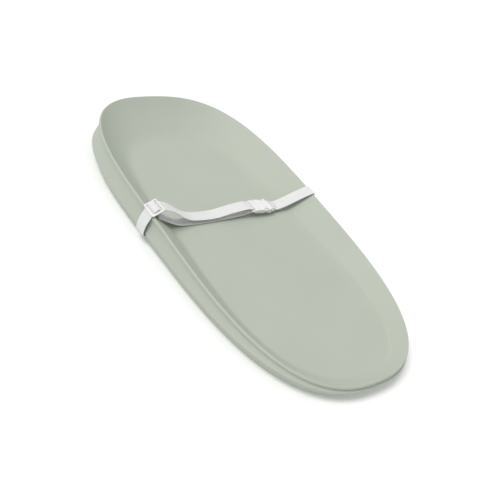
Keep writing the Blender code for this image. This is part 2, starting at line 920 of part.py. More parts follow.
def build_female(mat, group, tools):
    half = BUCKLE_WIDTH / 2.0
    tall = FEMALE_THICKNESS / 2.0
    end = FEMALE_LENGTH
    female = buckle_box(
        "female_buckle", (-half, half), (0.0, end), (-tall, tall), mat, group
    )
    bevel(female, EDGE_ROUND)
    bar_half = half - FIT_GAP * 2.0
    bar_end = end + FEMALE_BAR_GAP + FEMALE_BAR
    thin = BAR_THICKNESS / 2.0
    join_box(
        female,
        "female_bar",
        (-bar_half, bar_half),
        (end - CHEEK_WIDTH, bar_end),
        (-thin, thin),
        tools,
    )
    gap_half = bar_half - CHEEK_WIDTH
    cut_box(
        female,
        "female_bar_gap",
        (-gap_half, gap_half),
        (end - FIT_GAP, end + FEMALE_BAR_GAP),
        (-OVERRUN, OVERRUN),
        tools,
    )
    room = half - FEMALE_SIDE_WALL
    head = tall - FEMALE_WALL
    cut_box(
        female,
        "female_cavity",
        (-room, room),
        (-OVERRUN, CAVITY_DEPTH),
        (-head, head),
        tools,
    )
    window_end = WINDOW_START + WINDOW_LENGTH
    for side, sign in (("head", 1.0), ("foot", -1.0)):
        ends = sorted((sign * (room - WINDOW_WALL), sign * (half + OVERRUN)))
        cut_box(
            female,
            "female_window_" + side,
            tuple(ends),
            (WINDOW_START, window_end),
            (-OVERRUN, OVERRUN),
            tools,
        )
    return female


def build_male(mat, group, tools):
    half = BUCKLE_WIDTH / 2.0
    tall = MALE_THICKNESS / 2.0
    base = buckle_box(
        "male_buckle",
        (-half, half),
        (-MALE_BASE_LENGTH, -FIT_GAP),
        (-tall, tall),
        mat,
        group,
    )
    bevel(base, EDGE_ROUND)
    bar_half = half - FIT_GAP * 2.0
    thin = BAR_THICKNESS / 2.0
    bar_end = MALE_BASE_LENGTH + MALE_BAR_GAP + MALE_BAR
    join_box(
        base,
        "male_bar",
        (-bar_half, bar_half),
        (-bar_end, -MALE_BASE_LENGTH + CHEEK_WIDTH),
        (-thin, thin),
        tools,
    )
    gap_half = bar_half - CHEEK_WIDTH
    cut_box(
        base,
        "male_bar_gap",
        (-gap_half, gap_half),
        (-MALE_BASE_LENGTH - MALE_BAR_GAP, -MALE_BASE_LENGTH + FIT_GAP),
        (-OVERRUN, OVERRUN),
        tools,
    )
    thin = TONGUE_THICKNESS / 2.0
    join_box(
        base,
        "male_guide",
        (-GUIDE_WIDTH / 2.0, GUIDE_WIDTH / 2.0),
        (-CHEEK_WIDTH, GUIDE_LENGTH),
        (-thin, thin),
        tools,
    )
    return base


# Outline of one spring arm: across from the middle line, along from the mouth
def arm_outline():
    room = BUCKLE_WIDTH / 2.0 - FEMALE_SIDE_WALL
    grip = FEMALE_SIDE_WALL + ARM_PROUD
    root = [(room * a, WINDOW_START * b) for a, b in ARM_ROOT_SHARES + ARM_STEM_SHARES]
    outline = root
    for across, along in ARM_CATCH_SHARES:
        outline.append((room + grip * across, WINDOW_START + WINDOW_LENGTH * along))
    for across, along in ARM_TIP_SHARES:
        outline.append((room * across, WINDOW_START + WINDOW_LENGTH * along))
    outline.append((room * ARM_ROOT_SHARES[1][0], WINDOW_START * ARM_BACK_SHARE))
    return outline


def build_arm(name, sign, mat, group):
    outline = []
    for across, along in arm_outline():
        outline.append((STRAP_X + sign * across, mouth_y() - along))
    thin = TONGUE_THICKNESS / 2.0
    level = buckle_level()
    arm = plate(name, outline, level - thin, level + thin, mat, group)
    tilt_with_buckle(arm)
    room = BUCKLE_WIDTH / 2.0 - FEMALE_SIDE_WALL
    across = room * ARM_PIVOT_SHARES[0]
    along = WINDOW_START * ARM_PIVOT_SHARES[1]
    set_origin(arm, (STRAP_X + sign * across, *on_buckle(mouth_y() - along)))
    return arm


def build_slider(mat, group, tools):
    half = SLIDER_WIDTH / 2.0
    reach = SLIDER_LENGTH / 2.0
    thin = SLIDER_THICKNESS / 2.0
    slider = box(
        "slider", (-half, -reach, -thin), (half, reach, thin), mat, group
    )
    place = (STRAP_X, *slider_place())
    slider.location = place
    slider.rotation_euler = (-SLIDER_TILT, 0.0, 0.0)
    bevel(slider, EDGE_ROUND)
    for side, sign in (("outer", 1.0), ("inner", -1.0)):
        ends = sorted((sign * SLIDER_BAR / 2.0, sign * (reach - SLIDER_RIM)))
        low = (-half + SLIDER_RIM, ends[0], -OVERRUN)
        high = (half - SLIDER_RIM, ends[1], OVERRUN)
        window = box("slider_window_" + side, low, high, None, tools)
        window.location = place
        window.rotation_euler = (-SLIDER_TILT, 0.0, 0.0)
        mark_cutter(window)
        boolean(slider, window, "DIFFERENCE")
    return slider


# Bar tack: one thread laid in a zigzag across the webbing
def build_tack(name, start, finish, mat, group):
    width = WEB_WIDTH - 2.0 * TACK_MARGIN
    count = round(width / STITCH_PITCH)
    line = bpy.data.curves.new(name, "CURVE")
    line.dimensions = "3D"
    line.bevel_depth = STITCH_WIRE
    line.bevel_resolution = 1
    line.use_fill_caps = True
    spline = line.splines.new("POLY")
    spline.points.add(count)
    for index in range(count + 1):
        y, z = start if index % 2 == 0 else finish
        x = STRAP_X - width / 2.0 + width * index / count
        spline.points[index].co = (x, y, z, 1.0)
    item = bpy.data.objects.new(name, line)
    line.materials.append(mat)
    group.objects.link(item)
    return item


def build_tacks(mat, group):
    climb = between((female_bar_y(), buckle_level()), over_crest(-1.0), CLIMB_SHARES)
    lift = WEB_THICKNESS / 2.0 + STITCH_WIRE + FIT_GAP
    ends = climb[TACK_POINT_COUNT : TACK_POINT_COUNT + 2]
    start, finish = ((y, z + lift) for y, z in ends)
    build_tack("tack_female_end", start, finish, mat, group)
    start, finish = slider_points(SLIDER_TACK_SHARES)
    build_tack("tack_slider_end", start, finish, mat, group)


def main():
    clear_scene()
    parts = make_collection("parts")
    tools = make_collection("cutters")
    foam = material("sage foam skin", (0.48, 0.53, 0.45, 1.0), 0.6)
    web = material("white webbing", (0.80, 0.80, 0.80, 1.0), 0.85)
    plastic = material("white acetal", (0.86, 0.86, 0.86, 1.0), 0.35)
    thread = material("white thread", (0.78, 0.78, 0.77, 1.0), 0.9)
    build_pad(foam, parts, tools)
    build_strap(web, parts)
    build_female(plastic, parts, tools)
    build_male(plastic, parts, tools)
    build_arm("arm_head_side", 1.0, plastic, parts)
    build_arm("arm_foot_side", -1.0, plastic, parts)
    build_slider(plastic, parts, tools)
    build_tacks(thread, parts)


main()
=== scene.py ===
# Looks of the changing mat: a moulded foam pad with a webbing strap, a side release
# buckle and a slider, on a plain pale floor. Everything is in metres, in the CAD frame:
# X to the head end, Y to the slider's side, Z up.

import math

import bmesh
import bpy
import numpy as np
from mathutils import Matrix, Vector


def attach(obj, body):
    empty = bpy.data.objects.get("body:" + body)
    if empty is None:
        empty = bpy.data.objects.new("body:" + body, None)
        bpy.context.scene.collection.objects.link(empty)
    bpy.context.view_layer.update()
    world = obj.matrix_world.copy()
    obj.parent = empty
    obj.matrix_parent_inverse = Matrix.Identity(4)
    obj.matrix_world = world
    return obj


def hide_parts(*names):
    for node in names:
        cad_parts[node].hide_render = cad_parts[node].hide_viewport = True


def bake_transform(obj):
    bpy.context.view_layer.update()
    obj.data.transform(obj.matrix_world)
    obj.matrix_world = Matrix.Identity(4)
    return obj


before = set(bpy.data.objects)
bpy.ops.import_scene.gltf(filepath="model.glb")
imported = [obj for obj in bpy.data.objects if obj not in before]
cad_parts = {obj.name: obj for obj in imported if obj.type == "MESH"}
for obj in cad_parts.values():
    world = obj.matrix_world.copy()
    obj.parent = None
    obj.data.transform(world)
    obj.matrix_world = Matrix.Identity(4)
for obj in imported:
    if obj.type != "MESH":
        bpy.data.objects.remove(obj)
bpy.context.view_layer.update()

# The pad's main sizes, the same as in the CAD source
PAD_LENGTH = 0.800
PAD_WIDTH = 0.421
HEAD_HEIGHT = 0.078
MIDDLE_HEIGHT = 0.063
FOOT_HEIGHT = 0.034
FLOOR_MIDDLE = 0.0265
FLOOR_RISE = 0.006
HEAD_ROUNDNESS = 2.65
FOOT_ROUNDNESS = 2.40
SIDE_FULLNESS = 0.16
CREASE_HEAD = 0.0252
CREASE_FOOT = 0.0235
CREASE_LIP = 0.0016
BAND_INSET = 0.0125
BAND_FOOT_RISE = 0.004
REST_INSET = 0.0165
COVE_INSET = 0.0046
COVE_PLACES = ((0.22, 0.40), (0.50, 0.90), (0.78, 1.0))
CREST_INSET = 0.0045
CREST_EASE = 0.0026
CREST_DROP = 0.0042
SLOPE_SIDE = 0.072
SLOPE_END = 0.100
SLOPE_RISE = 0.044
SLOPE_STRAIGHT = 0.72
HEAD_BLEND = (0.100, 0.270)

# Points round the pad, the finer samples that they are picked from, and the largest share
# of the way to the next ring that a rounding may take
OUTLINE_POINTS = 400
OUTLINE_SAMPLES = 20001
CORNER_LIMIT_SHARE = 0.49

# Roundings of the side's rings, from the rest rim up to the crest, and of the crest
# itself, which gets sharper towards the head
SIDE_RADII = (0.001, 0.001, 0.002, 0.0005, 0.0004, 0.0008, 0.006, 0.006, 0.004, 0.003, 0.002)
CREST_RADIUS = 0.0030
CREST_SHARPENING = 0.0018
CREST_SHARP_AT = 0.25

# The dish's wall: a share of bowl at the head end, and a long tail at the foot end and on
# the side without the slider. Blends run along the pad, the foot's towards the foot, and
# the slider's side begins and is full at shares of the half width.
BOWL_SHARE = 0.40
BOWL_BLEND = (0.10, 0.30)
BOWL_POWER = 2.2
TAIL_SHARE = 0.40
TAIL_REACH = 0.64
TAIL_BLEND = (0.15, 0.30)
FOOT_BLEND = (0.25, 0.38)
SLIDER_SIDE_SHARES = (0.3, 0.8)
HEAD_NARROWING = 0.12
NARROWING_BLEND = (0.06, 0.15)
CREST_SHARES = (0.0, 0.06)
WALL_SHARES = (0.10, 1.0)
WALL_ROWS = 46
FLOOR_ROWS = 15

# Parting line's half width and where it may be, and angles past which an edge is sharp
PARTING_HALF = 0.0011
PARTING_REACH = 0.93
SMOOTH_FOAM = 40.0
SMOOTH_PLASTIC = 38.0
SMOOTH_CLOTH = 60.0

# Rings of the underside, from the outside in: shift of the centre, step inwards at the
# sides, step inwards at the ends, height, height at the head end, radius of the corner
UNDER_RINGS = (
    (-0.0040, 0.0170, 0.0170, 0.0, 0.0, 0.0022),
    (-0.0060, 0.0045, 0.0055, 0.0020, 0.0020, 0.0020),
    (-0.0080, 0.0030, 0.0035, 0.0065, 0.0065, 0.0020),
    (-0.0090, 0.0025, 0.0045, 0.0160, 0.0120, 0.0026),
    (-0.0120, 0.0075, 0.0070, 0.0160, 0.0160, 0.0026),
    (-0.0130, 0.0050, 0.0035, 0.0100, 0.0185, 0.0020),
    (-0.0200, 0.0125, 0.0230, 0.0095, 0.0225, 0.0010),
    (-0.0205, 0.0018, 0.0015, 0.0120, 0.0225, 0.0008),
    (-0.0210, 0.0027, 0.0020, 0.0070, 0.0075, 0.0016),
    (-0.0220, 0.0040, 0.0035, 0.0040, 0.0040, 0.0020),
    (-0.0220, 0.0090, 0.0100, 0.0040, 0.0040, 0.0020),
    (-0.0220, 0.0035, 0.0035, 0.0055, 0.0055, 0.0010),
)
FIELD_INSET = 0.0030
FIELD_ROUNDNESS = 2.8
FIELD_EASE = 0.006
FIELD_ROWS = 56
WAVE_LENGTH = 0.090
WAVE_WIDTH = 0.078
WAVE_HEIGHT = 0.0048
WAVE_LEVEL = 0.0100

# Strap: its place and size, the steps of its mesh and the pitches of its weave
STRAP_X = 0.054
WEB_WIDTH = 0.0250
WEB_THICKNESS = 0.0014
WEB_STEP = 0.0010
WEB_FINE_STEP = 0.0002
WEB_END_REACH = 0.00015
WEB_FLAT_POINTS = 11
WARP_PITCH = 0.00125
WARP_SHARE = 0.6
PICK_PITCH = 0.0009
PICK_LEAN = 1.6

# Slots, pockets and ribs that the strap passes, and values for all cuts and roundings
SLOT_ROOM_FOOT = 0.0020
SLOT_ROOM_HEAD = 0.0090
SLOT_LOW = 0.0150
SLOT_HEIGHT = 0.0050
SLOT_ROUNDING = 0.0012
POCKET_HALF = 0.0960
POCKET_INSET = 0.0422
POCKET_WIDTH = 0.0255
POCKET_TOP = 0.0210
POCKET_ROUNDING = 0.004
RIB_OFFSET = 0.0810
RIB_THICKNESS = 0.0050
RIB_BOTTOM = 0.0075
RIB_TOP = 0.0220
RIB_ROOT_IN = 0.0115
RIB_ROOT_OUT = 0.0047
RIB_ROUNDING = 0.0012
OVERRUN = 0.010
WELD = 0.00001
BEVEL_STEPS = 3
CORNER_STEPS = 5
ROD_POINTS = 48

# Buckle: sizes across the strap, along it from the mouth of the female half, and over
# the buckle's middle plane, which is tilted about the female half's bar
BUCKLE_PIVOT = Vector((STRAP_X, -0.101315, 0.037510))
BUCKLE_TILT = math.radians(5.0)
MOUTH = -0.062415
BUCKLE_HALF = 0.0165
CAVITY_HALF = 0.0145
SHELL_LENGTH = 0.0330
SHELL_HALF = 0.0050
SHELL_ROUNDING = 0.0013
SHELL_CAVITY = 0.0034
CAVITY_LENGTH = 0.0290
CAVITY_ROUNDING = 0.0008
WINDOW_MIDDLE = 0.0185
WINDOW_RADIUS = 0.0066
WINDOW_OUT = 0.001
LIP_LENGTH = 0.0058
LIP_HEIGHT = 0.0062
LIP_ROUNDING = 0.0014
LINE_START = 0.0262
LINE_WIDTH = 0.0006
LINE_DEPTH = 0.0005
LINE_OVERRUN = 0.002
BASE_LENGTH = 0.0120
BASE_HALF = 0.0042
MOUTH_GAP = 0.0003
FINGER_REST_HALF = 0.0095
FINGER_REST_REACH = (-0.0090, -0.0035)
FINGER_REST_DEPTH = 0.0006
FINGER_REST_ROUNDING = 0.0005
BAR_HALF = 0.0018
BAR_SPAN = 0.0159
BAR_ROOM = 0.0131
BAR_ROUNDING = 0.0008
BAR_ROOM_ROUNDING = 0.0004
FEMALE_BAR_REACH = (0.0302, 0.0406)
FEMALE_BAR_GAP = (0.0327, 0.0372)
MALE_BAR_REACH = (-0.0206, -0.0092)
MALE_BAR_GAP = (-0.0170, -0.0117)
GUIDE_HALF = 0.0030
GUIDE_LENGTH = 0.0240
GUIDE_LEVEL = 0.0025
GUIDE_ROOT = 0.0028
GUIDE_ROUNDING = 0.0006
PRESS_MIDDLE = 0.0110
PRESS_RADIUS = 0.0057
PRESS_LEVEL = 0.0031
PRESS_ROUNDING = 0.0007
PRESS_TRIM = 0.0006
PRESS_TRIM_LENGTH = 0.04

# Grip ribs: upright, and evenly turned round the outer face of each press pad
GRIP_COUNT = 7
GRIP_FIRST = -54.0
GRIP_TURN = 18.0
GRIP_RADIUS = 0.00035
GRIP_SINK = 0.0001
GRIP_SHORTER = 0.0014

# Slider, in its own tilted frame
SLIDER_PLACE = Vector((STRAP_X, 0.200415, 0.073842))
SLIDER_TILT = math.radians(29.0)
SLIDER_HALF = (0.0170, 0.0130)
SLIDER_LEVELS = (-0.0013, 0.0017)
SLIDER_RIM = 0.0030
SLIDER_SIDE_RIM = 0.0037
SLIDER_BAR_HALF = 0.0020
SLIDER_BAR_TOP = 0.0011
SLIDER_CORNER = 0.0030
SLIDER_ROUNDING = 0.0010
SLIDER_WINDOW_ROUNDING = 0.0007

# Bar tacks: thread 0.35 mm thick in stitches 0.5 mm apart
TACK_COUNT = 41
TACK_PITCH = 0.0005
TACK_LENGTH = 0.0020
TACK_THREAD = 0.00035
TACK_SINK = 0.00055


# sRGB hex colour to the linear values that a shader takes
def colour(hex_code):
    values = []
    for start in (0, 2, 4):
        share = int(hex_code[start : start + 2], 16) / 255.0
        if share <= 0.04045:
            values.append(share / 12.92)
        else:
            values.append(((share + 0.055) / 1.055) ** 2.4)
    return (*values, 1.0)


# Adds a node with its settings; a socket among the inputs is linked
def put(tree, kind, sockets=None, **settings):
    node = tree.nodes.new(kind)
    for name, value in settings.items():
        setattr(node, name, value)
    for name, value in (sockets or {}).items():
        if isinstance(value, bpy.types.NodeSocket):
            tree.links.new(value, node.inputs[name])
        else:
            node.inputs[name].default_value = value
    return node


# Result of a sum on numbers or sockets
def maths(tree, operation, *values):
    return put(tree, "ShaderNodeMath", dict(enumerate(values)), operation=operation).outputs[0]


# Colour between two others
def mixed(tree, factor, low, high):
    values = {"Factor": factor, "A": low, "B": high}
    return put(tree, "ShaderNodeMix", values, data_type="RGBA").outputs["Result"]


# A value from nought to one, brought between two levels
def mapped(tree, value, low, high):
    values = {"Value": value, "To Min": low, "To Max": high}
    return put(tree, "ShaderNodeMapRange", values).outputs["Result"]


# Bumped normal, over another one if it is given
def bumped(tree, height, strength, distance, normal=None):
    values = {"Height": height, "Strength": strength, "Distance": distance}
    if normal is not None:
        values["Normal"] = normal
    return put(tree, "ShaderNodeBump", values).outputs["Normal"]


# Lets some light into a thin white piece, to the given depth
def let_light_in(shader, weight, depth):
    shader.inputs["Subsurface Weight"].default_value = weight
    shader.inputs["Subsurface Radius"].default_value = (1.0, 1.0, 1.0)
    shader.inputs["Subsurface Scale"].default_value = depth


# Object with its data, put into the scene
def add_object(name, data):
    item = bpy.data.objects.new(name, data)
    bpy.context.scene.collection.objects.link(item)
    return item


# Mesh of a bmesh that is finished with
def close_mesh(bm, name):
    mesh = bpy.data.meshes.new(name)
    bm.to_mesh(mesh)
    bm.free()
    return mesh


def new_material(name):
    material = bpy.data.materials.new(name)
    material.use_nodes = True
    return material, material.node_tree, material.node_tree.nodes["Principled BSDF"]


# Integral skin polyurethane foam, moulded: a closed matt skin with a fine grain, a
# slow change of tone from place to place, and a paler parting line.
def foam_skin():
    material, tree, shader = new_material("moulded_polyurethane_foam_skin")
    place = put(tree, "ShaderNodeTexCoord").outputs["Object"]
    tone = put(tree, "ShaderNodeTexNoise", {"Vector": place, "Scale": 9.0, "Detail": 2.0})
    shade = mixed(tree, tone.outputs["Fac"], colour("B0B7AA"), colour("B6BDB0"))
    seam = put(tree, "ShaderNodeAttribute", attribute_name="parting_line")
    lined = mixed(tree, seam.outputs["Fac"], shade, colour("B7BEB1"))
    tree.links.new(lined, shader.inputs["Base Color"])
    # grain of the skin, about 1.1 mm across
    grain = put(tree, "ShaderNodeTexVoronoi", {"Vector": place, "Scale": 900.0})
    fine = put(tree, "ShaderNodeTexNoise", {"Vector": place, "Scale": 420.0, "Detail": 3.0})
    rough = mapped(tree, fine.outputs["Fac"], 0.50, 0.62)
    tree.links.new(rough, shader.inputs["Roughness"])
    low = bumped(tree, grain.outputs["Distance"], 0.10, 0.0002)
    high = bumped(tree, fine.outputs["Fac"], 0.15, 0.0003, low)
    tree.links.new(high, shader.inputs["Normal"])
    shader.inputs["IOR"].default_value = 1.45
    return material


# Turns at which the outline's points stand evenly spaced along the side
def even_turns(count):
    turns = np.linspace(0.0, 2.0 * math.pi, OUTLINE_SAMPLES)
    line = outline(PAD_LENGTH / 2.0, PAD_WIDTH / 2.0, 0.0, turns)
    steps = np.linalg.norm(np.diff(line, axis=0), axis=1)
    reach = np.concatenate([[0.0], np.cumsum(steps)])
    marks = np.linspace(0.0, reach[-1], count + 1)[:-1]
    return np.interp(marks, reach, turns)


# Rounded oblong with its own roundness at each end
def outline(half_length, half_width, centre, turns, power=None):
    cosine = np.cos(turns)
    sine = np.sin(turns)
    if power is None:
        bend = 2.0 / np.where(cosine > 0.0, HEAD_ROUNDNESS, FOOT_ROUNDNESS)
    else:
        bend = 2.0 / power
    x = np.sign(cosine) * np.abs(cosine) ** bend
    y = np.sign(sine) * np.abs(sine) ** bend
    full = 1.0 + SIDE_FULLNESS * x * x
    return np.stack([centre + x * half_length, y * full * half_width], axis=1)


TURNS = even_turns(OUTLINE_POINTS)


def pad_ring(inset_x, inset_y, centre=0.0):
    half_length = PAD_LENGTH / 2.0 - inset_x
    half_width = PAD_WIDTH / 2.0 - inset_y
    return outline(half_length, half_width, centre, TURNS)


def crest_height(x):
    share = x / (PAD_LENGTH / 2.0)
    tilt = (HEAD_HEIGHT - FOOT_HEIGHT) / 2.0
    bend = (HEAD_HEIGHT + FOOT_HEIGHT) / 2.0 - MIDDLE_HEIGHT
    return MIDDLE_HEIGHT + tilt * share + bend * share * share


def crease_height(x):
    middle = (CREASE_HEAD + CREASE_FOOT) / 2.0
    return middle + (CREASE_HEAD - CREASE_FOOT) / 2.0 * x / (PAD_LENGTH / 2.0)


def floor_height(x):
    return FLOOR_MIDDLE + FLOOR_RISE * x / (PAD_LENGTH / 2.0)


def eased(values, low, high):
    share = np.clip((values - low) / (high - low), 0.0, 1.0)
    return share * share * (3.0 - 2.0 * share)


# Height of the dish's wall over its floor: straight, eased into the floor with a long
# tail, and at the head end more like a bowl
def slope_profile(share, bowl, tail):
    steepness = 2.0 / (1.0 + SLOPE_STRAIGHT)
    down = np.minimum(1.0, share * (1.0 + TAIL_REACH * tail))
    wall = np.where(
        down < SLOPE_STRAIGHT,
        1.0 - steepness * down,
        (1.0 - down) ** 2 * steepness / (2.0 * (1.0 - SLOPE_STRAIGHT)),
    )
    rest = 1.0 - share
    wall = wall + TAIL_SHARE * tail * (rest * rest - wall)
    return wall + (rest**BOWL_POWER - wall) * bowl


def raised(flat, height):
    z = np.broadcast_to(height, (len(flat),))
    return np.column_stack([flat, z])


# A row of rings with each corner between them rounded by its own reach
def rounded(rings, reaches, steps=4):
    rows = [rings[0]]
    for index in range(1, len(rings) - 1):
        corner = rings[index]
        back = rings[index - 1] - corner
        ahead = rings[index + 1] - corner
        reach = reaches[index]
        back_share = np.minimum(CORNER_LIMIT_SHARE, reach / np.linalg.norm(back, axis=1))
        ahead_share = np.minimum(CORNER_LIMIT_SHARE, reach / np.linalg.norm(ahead, axis=1))
        start = corner + back * back_share[:, None]
        end = corner + ahead * ahead_share[:, None]
        for step in range(steps + 1):
            t = step / steps
            bend = (1.0 - t) ** 2 * start + 2.0 * t * (1.0 - t) * corner + t * t * end
            rows.append(bend)
    rows.append(rings[-1])
    return rows


# Egg crate field under the dish, from its middle out
def field_rows():
    shift = UNDER_RINGS[-1][0]
    side = REST_INSET + sum(row[1] for row in UNDER_RINGS)
    end = REST_INSET + sum(row[2] for row in UNDER_RINGS)
    half_length = PAD_LENGTH / 2.0 - end - FIELD_INSET
    half_width = PAD_WIDTH / 2.0 - side - FIELD_INSET
    edge_height = UNDER_RINGS[-1][3]
    rows = []
    for share in np.linspace(0.0, 1.0, FIELD_ROWS)[1:]:
        flat = outline(half_length * share, half_width * share, shift, TURNS, FIELD_ROUNDNESS)
        wave_x = np.cos(2.0 * math.pi * (flat[:, 0] - shift) / WAVE_LENGTH)
        wave_y = np.cos(2.0 * math.pi * flat[:, 1] / WAVE_WIDTH)
        wave = WAVE_LEVEL + WAVE_HEIGHT * wave_x * wave_y
        depth = eased((1.0 - share) * half_width, 0.0, FIELD_EASE)
        rows.append(raised(flat, edge_height + (wave - edge_height) * depth))
    return rows


def under_rows():
    rings = []
    reaches = []
    side = REST_INSET
    end = REST_INSET
    for shift, side_step, end_step, height, head_height, radius in UNDER_RINGS:
        side += side_step
        end += end_step
        flat = pad_ring(end, side, shift)
        share = eased(flat[:, 0], *HEAD_BLEND)
        rings.append(raised(flat, height + (head_height - height) * share))
        reaches.append(radius)
    return rings[::-1], reaches[::-1]


def side_rows():
    rings = [raised(pad_ring(REST_INSET, REST_INSET), 0.0)]
    low = BAND_INSET + CREASE_LIP
    rings.append(raised(pad_ring(low, low), CREASE_LIP / 2.0))
    rings.append(raised(pad_ring(BAND_INSET, BAND_INSET), BAND_FOOT_RISE))
    flat = pad_ring(CREASE_LIP / 2.0, CREASE_LIP / 2.0)
    rings.append(raised(flat, crease_height(flat[:, 0]) - CREASE_LIP))
    flat = pad_ring(0.0, 0.0)
    rings.append(raised(flat, crease_height(flat[:, 0])))
    flat = pad_ring(CREASE_LIP / 4.0, CREASE_LIP / 4.0)
    rings.append(raised(flat, crease_height(flat[:, 0]) + CREASE_LIP))
    for climb, depth in COVE_PLACES:
        flat = pad_ring(COVE_INSET * depth, COVE_INSET * depth)
        low = crease_height(flat[:, 0])
        top = crest_height(flat[:, 0]) - CREST_DROP
        rings.append(raised(flat, low + (top - low) * climb))
    inset = CREST_INSET - CREST_EASE
    flat = pad_ring(inset, inset)
    rings.append(raised(flat, crest_height(flat[:, 0]) - CREST_DROP))
    inset = CREST_INSET - CREST_EASE / 2.0
    flat = pad_ring(inset, inset)
    rings.append(raised(flat, crest_height(flat[:, 0]) - CREST_DROP / 4.0))
    return rings, list(SIDE_RADII)


# The wall is narrower where the rim is lower. Its foot has a long tail at the foot end
# and on the side without the slider, and at the head end the wall is more like a bowl.
def dish_rows():
    crest = pad_ring(CREST_INSET, CREST_INSET)
    foot = pad_ring(CREST_INSET + SLOPE_END, CREST_INSET + SLOPE_SIDE)
    along = crest[:, 0]
    rise = crest_height(along) - floor_height(along)
    bowl = BOWL_SHARE * eased(along, *BOWL_BLEND)
    # the slider's side has a shorter foot, on which the strap lies
    start, full = (share * PAD_WIDTH / 2.0 for share in SLIDER_SIDE_SHARES)
    side = eased(crest[:, 1], start, full)
    before_foot = 1.0 - eased(-along, *FOOT_BLEND)
    tail = (1.0 - side * before_foot) * (1.0 - eased(along, *TAIL_BLEND))
    width = 1.0 + TAIL_REACH * tail - HEAD_NARROWING * side * eased(along, *NARROWING_BLEND)
    width = width * rise / SLOPE_RISE
    rows = []
    for share in np.concatenate([CREST_SHARES, np.linspace(*WALL_SHARES, WALL_ROWS)]):
        flat = crest + (foot - crest) * (share * width)[:, None]
        height = floor_height(flat[:, 0]) + rise * slope_profile(share, bowl, tail)
        rows.append(raised(flat, height))
    inner = rows[-1]
    for share in np.linspace(1.0, 0.0, FLOOR_ROWS)[1:-1]:
        flat = inner[:, :2] * share
        rows.append(raised(flat, floor_height(flat[:, 0])))
    return rows


def loft(name, rows, low_pole, high_pole):
    count = len(rows[0])
    places = [tuple(point) for row in rows for point in row]
    faces = []
    for row in range(len(rows) - 1):
        for index in range(count):
            after = (index + 1) % count
            low = row * count
            faces.append((low + index, low + after, low + count + after, low + count + index))
    places.append(low_pole)
    places.append(high_pole)
    bottom = len(places) - 2
    last = (len(rows) - 1) * count
    for index in range(count):
        after = (index + 1) % count
        faces.append((index, bottom, after))
        faces.append((last + after, bottom + 1, last + index))
    mesh = bpy.data.meshes.new(name)
    mesh.from_pydata(places, [], faces)
    return add_object(name, mesh)


def round_edges(bm, edges, rounding):
    bmesh.ops.bevel(
        bm,
        geom=edges,
        offset=rounding,
        segments=BEVEL_STEPS,
        profile=0.5,
        affect="EDGES",
    )


def level_edges(bm):
    return [e for e in bm.edges if abs(e.verts[0].co.z - e.verts[1].co.z) < WELD]


def box(name, low, high, rounding=0.0):
    bm = bmesh.new()
    bmesh.ops.create_cube(bm, size=1.0)
    for vert in bm.verts:
        for axis in range(3):
            span = high[axis] - low[axis]
            vert.co[axis] = (high[axis] + low[axis]) / 2.0 + vert.co[axis] * span
    if rounding > 0.0:
        round_edges(bm, list(bm.edges), rounding)
    return add_object(name, close_mesh(bm, name))


# Applies a boolean at once and removes the tool
def carve(item, tool, operation):
    step = item.modifiers.new("carve", "BOOLEAN")
    step.operation = operation
    step.solver = "EXACT"
    step.object = tool
    depsgraph = bpy.context.evaluated_depsgraph_get()
    result = bpy.data.meshes.new_from_object(item.evaluated_get(depsgraph))
    item.modifiers.clear()
    item.data = result
    bpy.data.objects.remove(tool, do_unlink=True)


def finish_normals(item):
    bm = bmesh.new()
    bm.from_mesh(item.data)
    bmesh.ops.remove_doubles(bm, verts=bm.verts, dist=WELD)
    bmesh.ops.recalc_face_normals(bm, faces=bm.faces)
    bm.to_mesh(item.data)
    bm.free()


def soften(item, angle):
    for face in item.data.polygons:
        face.use_smooth = True
    bm = bmesh.new()
    bm.from_mesh(item.data)
    for edge in bm.edges:
        edge.smooth = edge.calc_face_angle(0.0) < math.radians(angle)
    bm.to_mesh(item.data)
    bm.free()


# Line along the side that the foam's two mould halves leave
def mark_parting_line(item):
    mark = item.data.attributes.new("parting_line", "FLOAT", "POINT")
    half_length = PAD_LENGTH / 2.0
    for index, vert in enumerate(item.data.vertices):
        x, y, z = vert.co
        off = abs(z - crease_height(x))
        reach = (abs(x) / half_length) ** 2 + (abs(y) / (PAD_WIDTH / 2.0)) ** 2
        near = max(0.0, 1.0 - off / PARTING_HALF)
        mark.data[index].value = near if reach > PARTING_REACH else 0.0


def side_tool(name, across, out, height, sign, rounding):
    ends = sorted((sign * out[0], sign * out[1]))
    low = (across[0], ends[0], height[0])
    high = (across[1], ends[1], height[1])
    return box(name, low, high, rounding)


